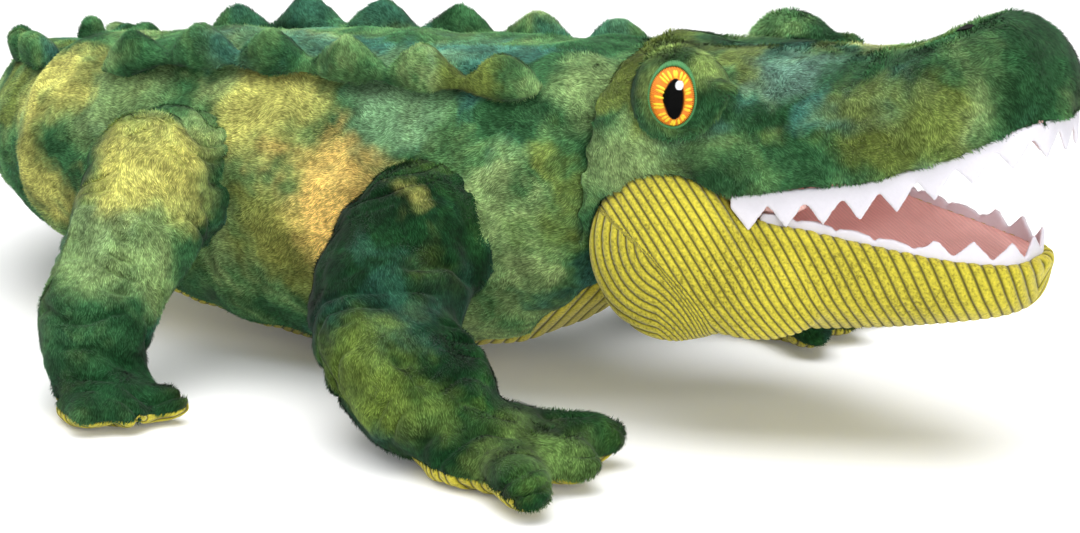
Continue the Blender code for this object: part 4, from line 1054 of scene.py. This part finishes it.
def stitch(form, start, end, width, height, lift):
    """One laid thread between two flat points, rounded and domed."""
    start, end = Vector((*start, lift)), Vector((*end, lift))
    along = end - start
    made = bmesh.ops.create_uvsphere(form, u_segments=6, v_segments=5, radius=0.5)["verts"]
    bmesh.ops.rotate(form, verts=made, cent=(0, 0, 0), matrix=Matrix.Rotation(math.pi / 2, 3, "Y"))
    bmesh.ops.scale(form, verts=made, vec=(along.length + width * 0.4, width, height))
    turn = Matrix.Rotation(math.atan2(along.y, along.x), 3, "Z")
    bmesh.ops.rotate(form, verts=made, cent=(0, 0, 0), matrix=turn)
    bmesh.ops.translate(form, verts=made, vec=(start + end) / 2)


def embroidered(name, form, ground, centre, across, upward, outward, material):
    """Lays flat stitch work on a piece of fabric: each point drops to the surface below it."""
    skin = BVHTree.FromObject(ground, bpy.context.evaluated_depsgraph_get())
    for vert in form.verts:
        u, v, height = vert.co
        over = centre + across * u + upward * v
        spot = skin.ray_cast(over + outward * 0.03, -outward)[0]
        if spot is None:
            spot = skin.find_nearest(over)[0]
        vert.co = spot + outward * height
    bmesh.ops.recalc_face_normals(form, faces=form.faces)
    mesh = bpy.data.meshes.new(name)
    form.to_mesh(mesh)
    form.free()
    return clad(placed(mesh, name), material)


def ellipse(half, angle, share=1.0):
    """A point on a share of an ellipse."""
    return (half[0] * share * math.cos(angle), half[1] * share * math.sin(angle))


def satin(form, centre, half, count, width, height, lift):
    """Level stitches one above the other that fill an oval."""
    for k in range(count):
        v = half[1] * (2 * (k + 0.5) / count - 1)
        u = half[0] * math.sqrt(1 - (v / half[1]) ** 2)
        stitch(form, *(centre + Vector((s * u, v)) for s in (-1, 1)), width, height, lift)


for side_name, side in (("right", -1), ("left", 1)):
    corner = [((0.1365, MIDLINE + side * 0.0450, 0.1205), (0.0085, 0.0050, 0.0040))]
    brow = stuffed(f"{side_name}_brow_skin", [f"{side_name}_brow"], 0.0014, 4, corner)
    refine(brow)
    outward = Vector((math.sin(EYE_TURN), side * math.cos(EYE_TURN), 0))
    across = Vector((math.cos(EYE_TURN), -side * math.sin(EYE_TURN), 0))
    upward = Vector((0, 0, 1))
    centre = Vector((0.1234, MIDLINE + side * 0.0512, 0.1170))
    flat = points(brow) - np.array(centre)
    u, v, w = flat @ np.array(across), flat @ np.array(upward), flat @ np.array(outward)
    bare = (u / (EYE_HALF[0] + EYE_RIM)) ** 2 + (v / (EYE_HALF[1] + EYE_RIM)) ** 2 < 1
    bare = (bare & (w > -0.012)).astype(float)
    clad(brow, brow_plush[0])
    comb = (0.3, side * 0.3, -0.9)
    fur = pile(f"{side_name}_brow_pile", brow, BROW_BLADES, PILE_LENGTH, comb, 60 + side, bare)
    clad(fur, brow_plush[1])
    base, glow, ring, pupil, glint = (bmesh.new() for _ in range(5))
    for k in range(88):
        angle = math.tau * k / 88
        inner, outer = ellipse(EYE_HALF, angle, 0.36), ellipse(EYE_HALF, angle, 0.97)
        stitch(base, inner, outer, 0.00075, 0.0010, THREAD_LIFT)
    for k in range(26):
        angle = math.tau * (k + 0.25 * math.sin(k * 2.4)) / 26
        inner = PUPIL_PLACE + Vector(ellipse(PUPIL_HALF, angle, 1.06))
        outer = Vector(ellipse(EYE_HALF, angle))
        reach = inner.lerp(outer, 0.66 + 0.10 * math.sin(k * 5.1))
        stitch(glow, inner, reach, 0.00105, 0.0009, THREAD_LIFT + 0.0003)
    for k in range(96):
        angle = math.tau * k / 96
        edge = 1.05 + 0.09 * max(0, math.sin(angle)) ** 2
        inner, outer = ellipse(EYE_HALF, angle, 0.98), ellipse(EYE_HALF, angle, edge)
        stitch(ring, inner, outer, 0.00065, 0.0008, THREAD_LIFT)
    satin(pupil, PUPIL_PLACE, PUPIL_HALF, 35, 0.00055, 0.0008, THREAD_LIFT + 0.0006)
    for k in range(7):
        v = 0.0013 * (2 * (k + 0.5) / 7 - 1)
        u = math.sqrt(0.0014**2 - v**2)
        ends = [(0.0027 + s * u, 0.0041 + v) for s in (-1, 1)]
        stitch(glint, *ends, 0.00055, 0.0007, THREAD_LIFT + 0.0010)
    work = [
        (f"{side_name}_iris_base", base, orange_thread, "orange_thread", f"{side_name}_iris"),
        (f"{side_name}_iris_glow", glow, yellow_thread, None, None),
        (f"{side_name}_eye_ring", ring, green_thread, None, None),
        (f"{side_name}_pupil_satin", pupil, black_thread, "black_thread", f"{side_name}_pupil"),
        (f"{side_name}_glint_satin", glint, white_thread, "white_thread", f"{side_name}_glint"),
    ]
    for name, form, material, slot, node in work:
        sewn = embroidered(name, form, brow, centre, across, upward, outward, material)
        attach(sewn, "head")
        if node:
            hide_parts(node)
    for part in (brow, fur):
        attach(part, "head")
    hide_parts(f"{side_name}_brow")

# Nostrils
# Two small dark ovals of satin stitch near the end of the snout.
NOSTRIL_HALF = (0.0030, 0.0018)
NOSTRIL_LAY = (Vector((1, 0, 0)), Vector((0, 1, 0)), Vector((0, 0, 1)))
for side_name, side in (("right", -1), ("left", 1)):
    hole = bmesh.new()
    satin(hole, Vector((0, 0)), NOSTRIL_HALF, 11, 0.0005, 0.0008, 0.0016)
    centre = Vector((0.2048, MIDLINE + side * 0.0130, 0.142))
    name = f"{side_name}_nostril_satin"
    sewn = embroidered(name, hole, head_skin, centre, *NOSTRIL_LAY, black_thread)
    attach(sewn, "head")
    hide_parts(f"{side_name}_nostril")
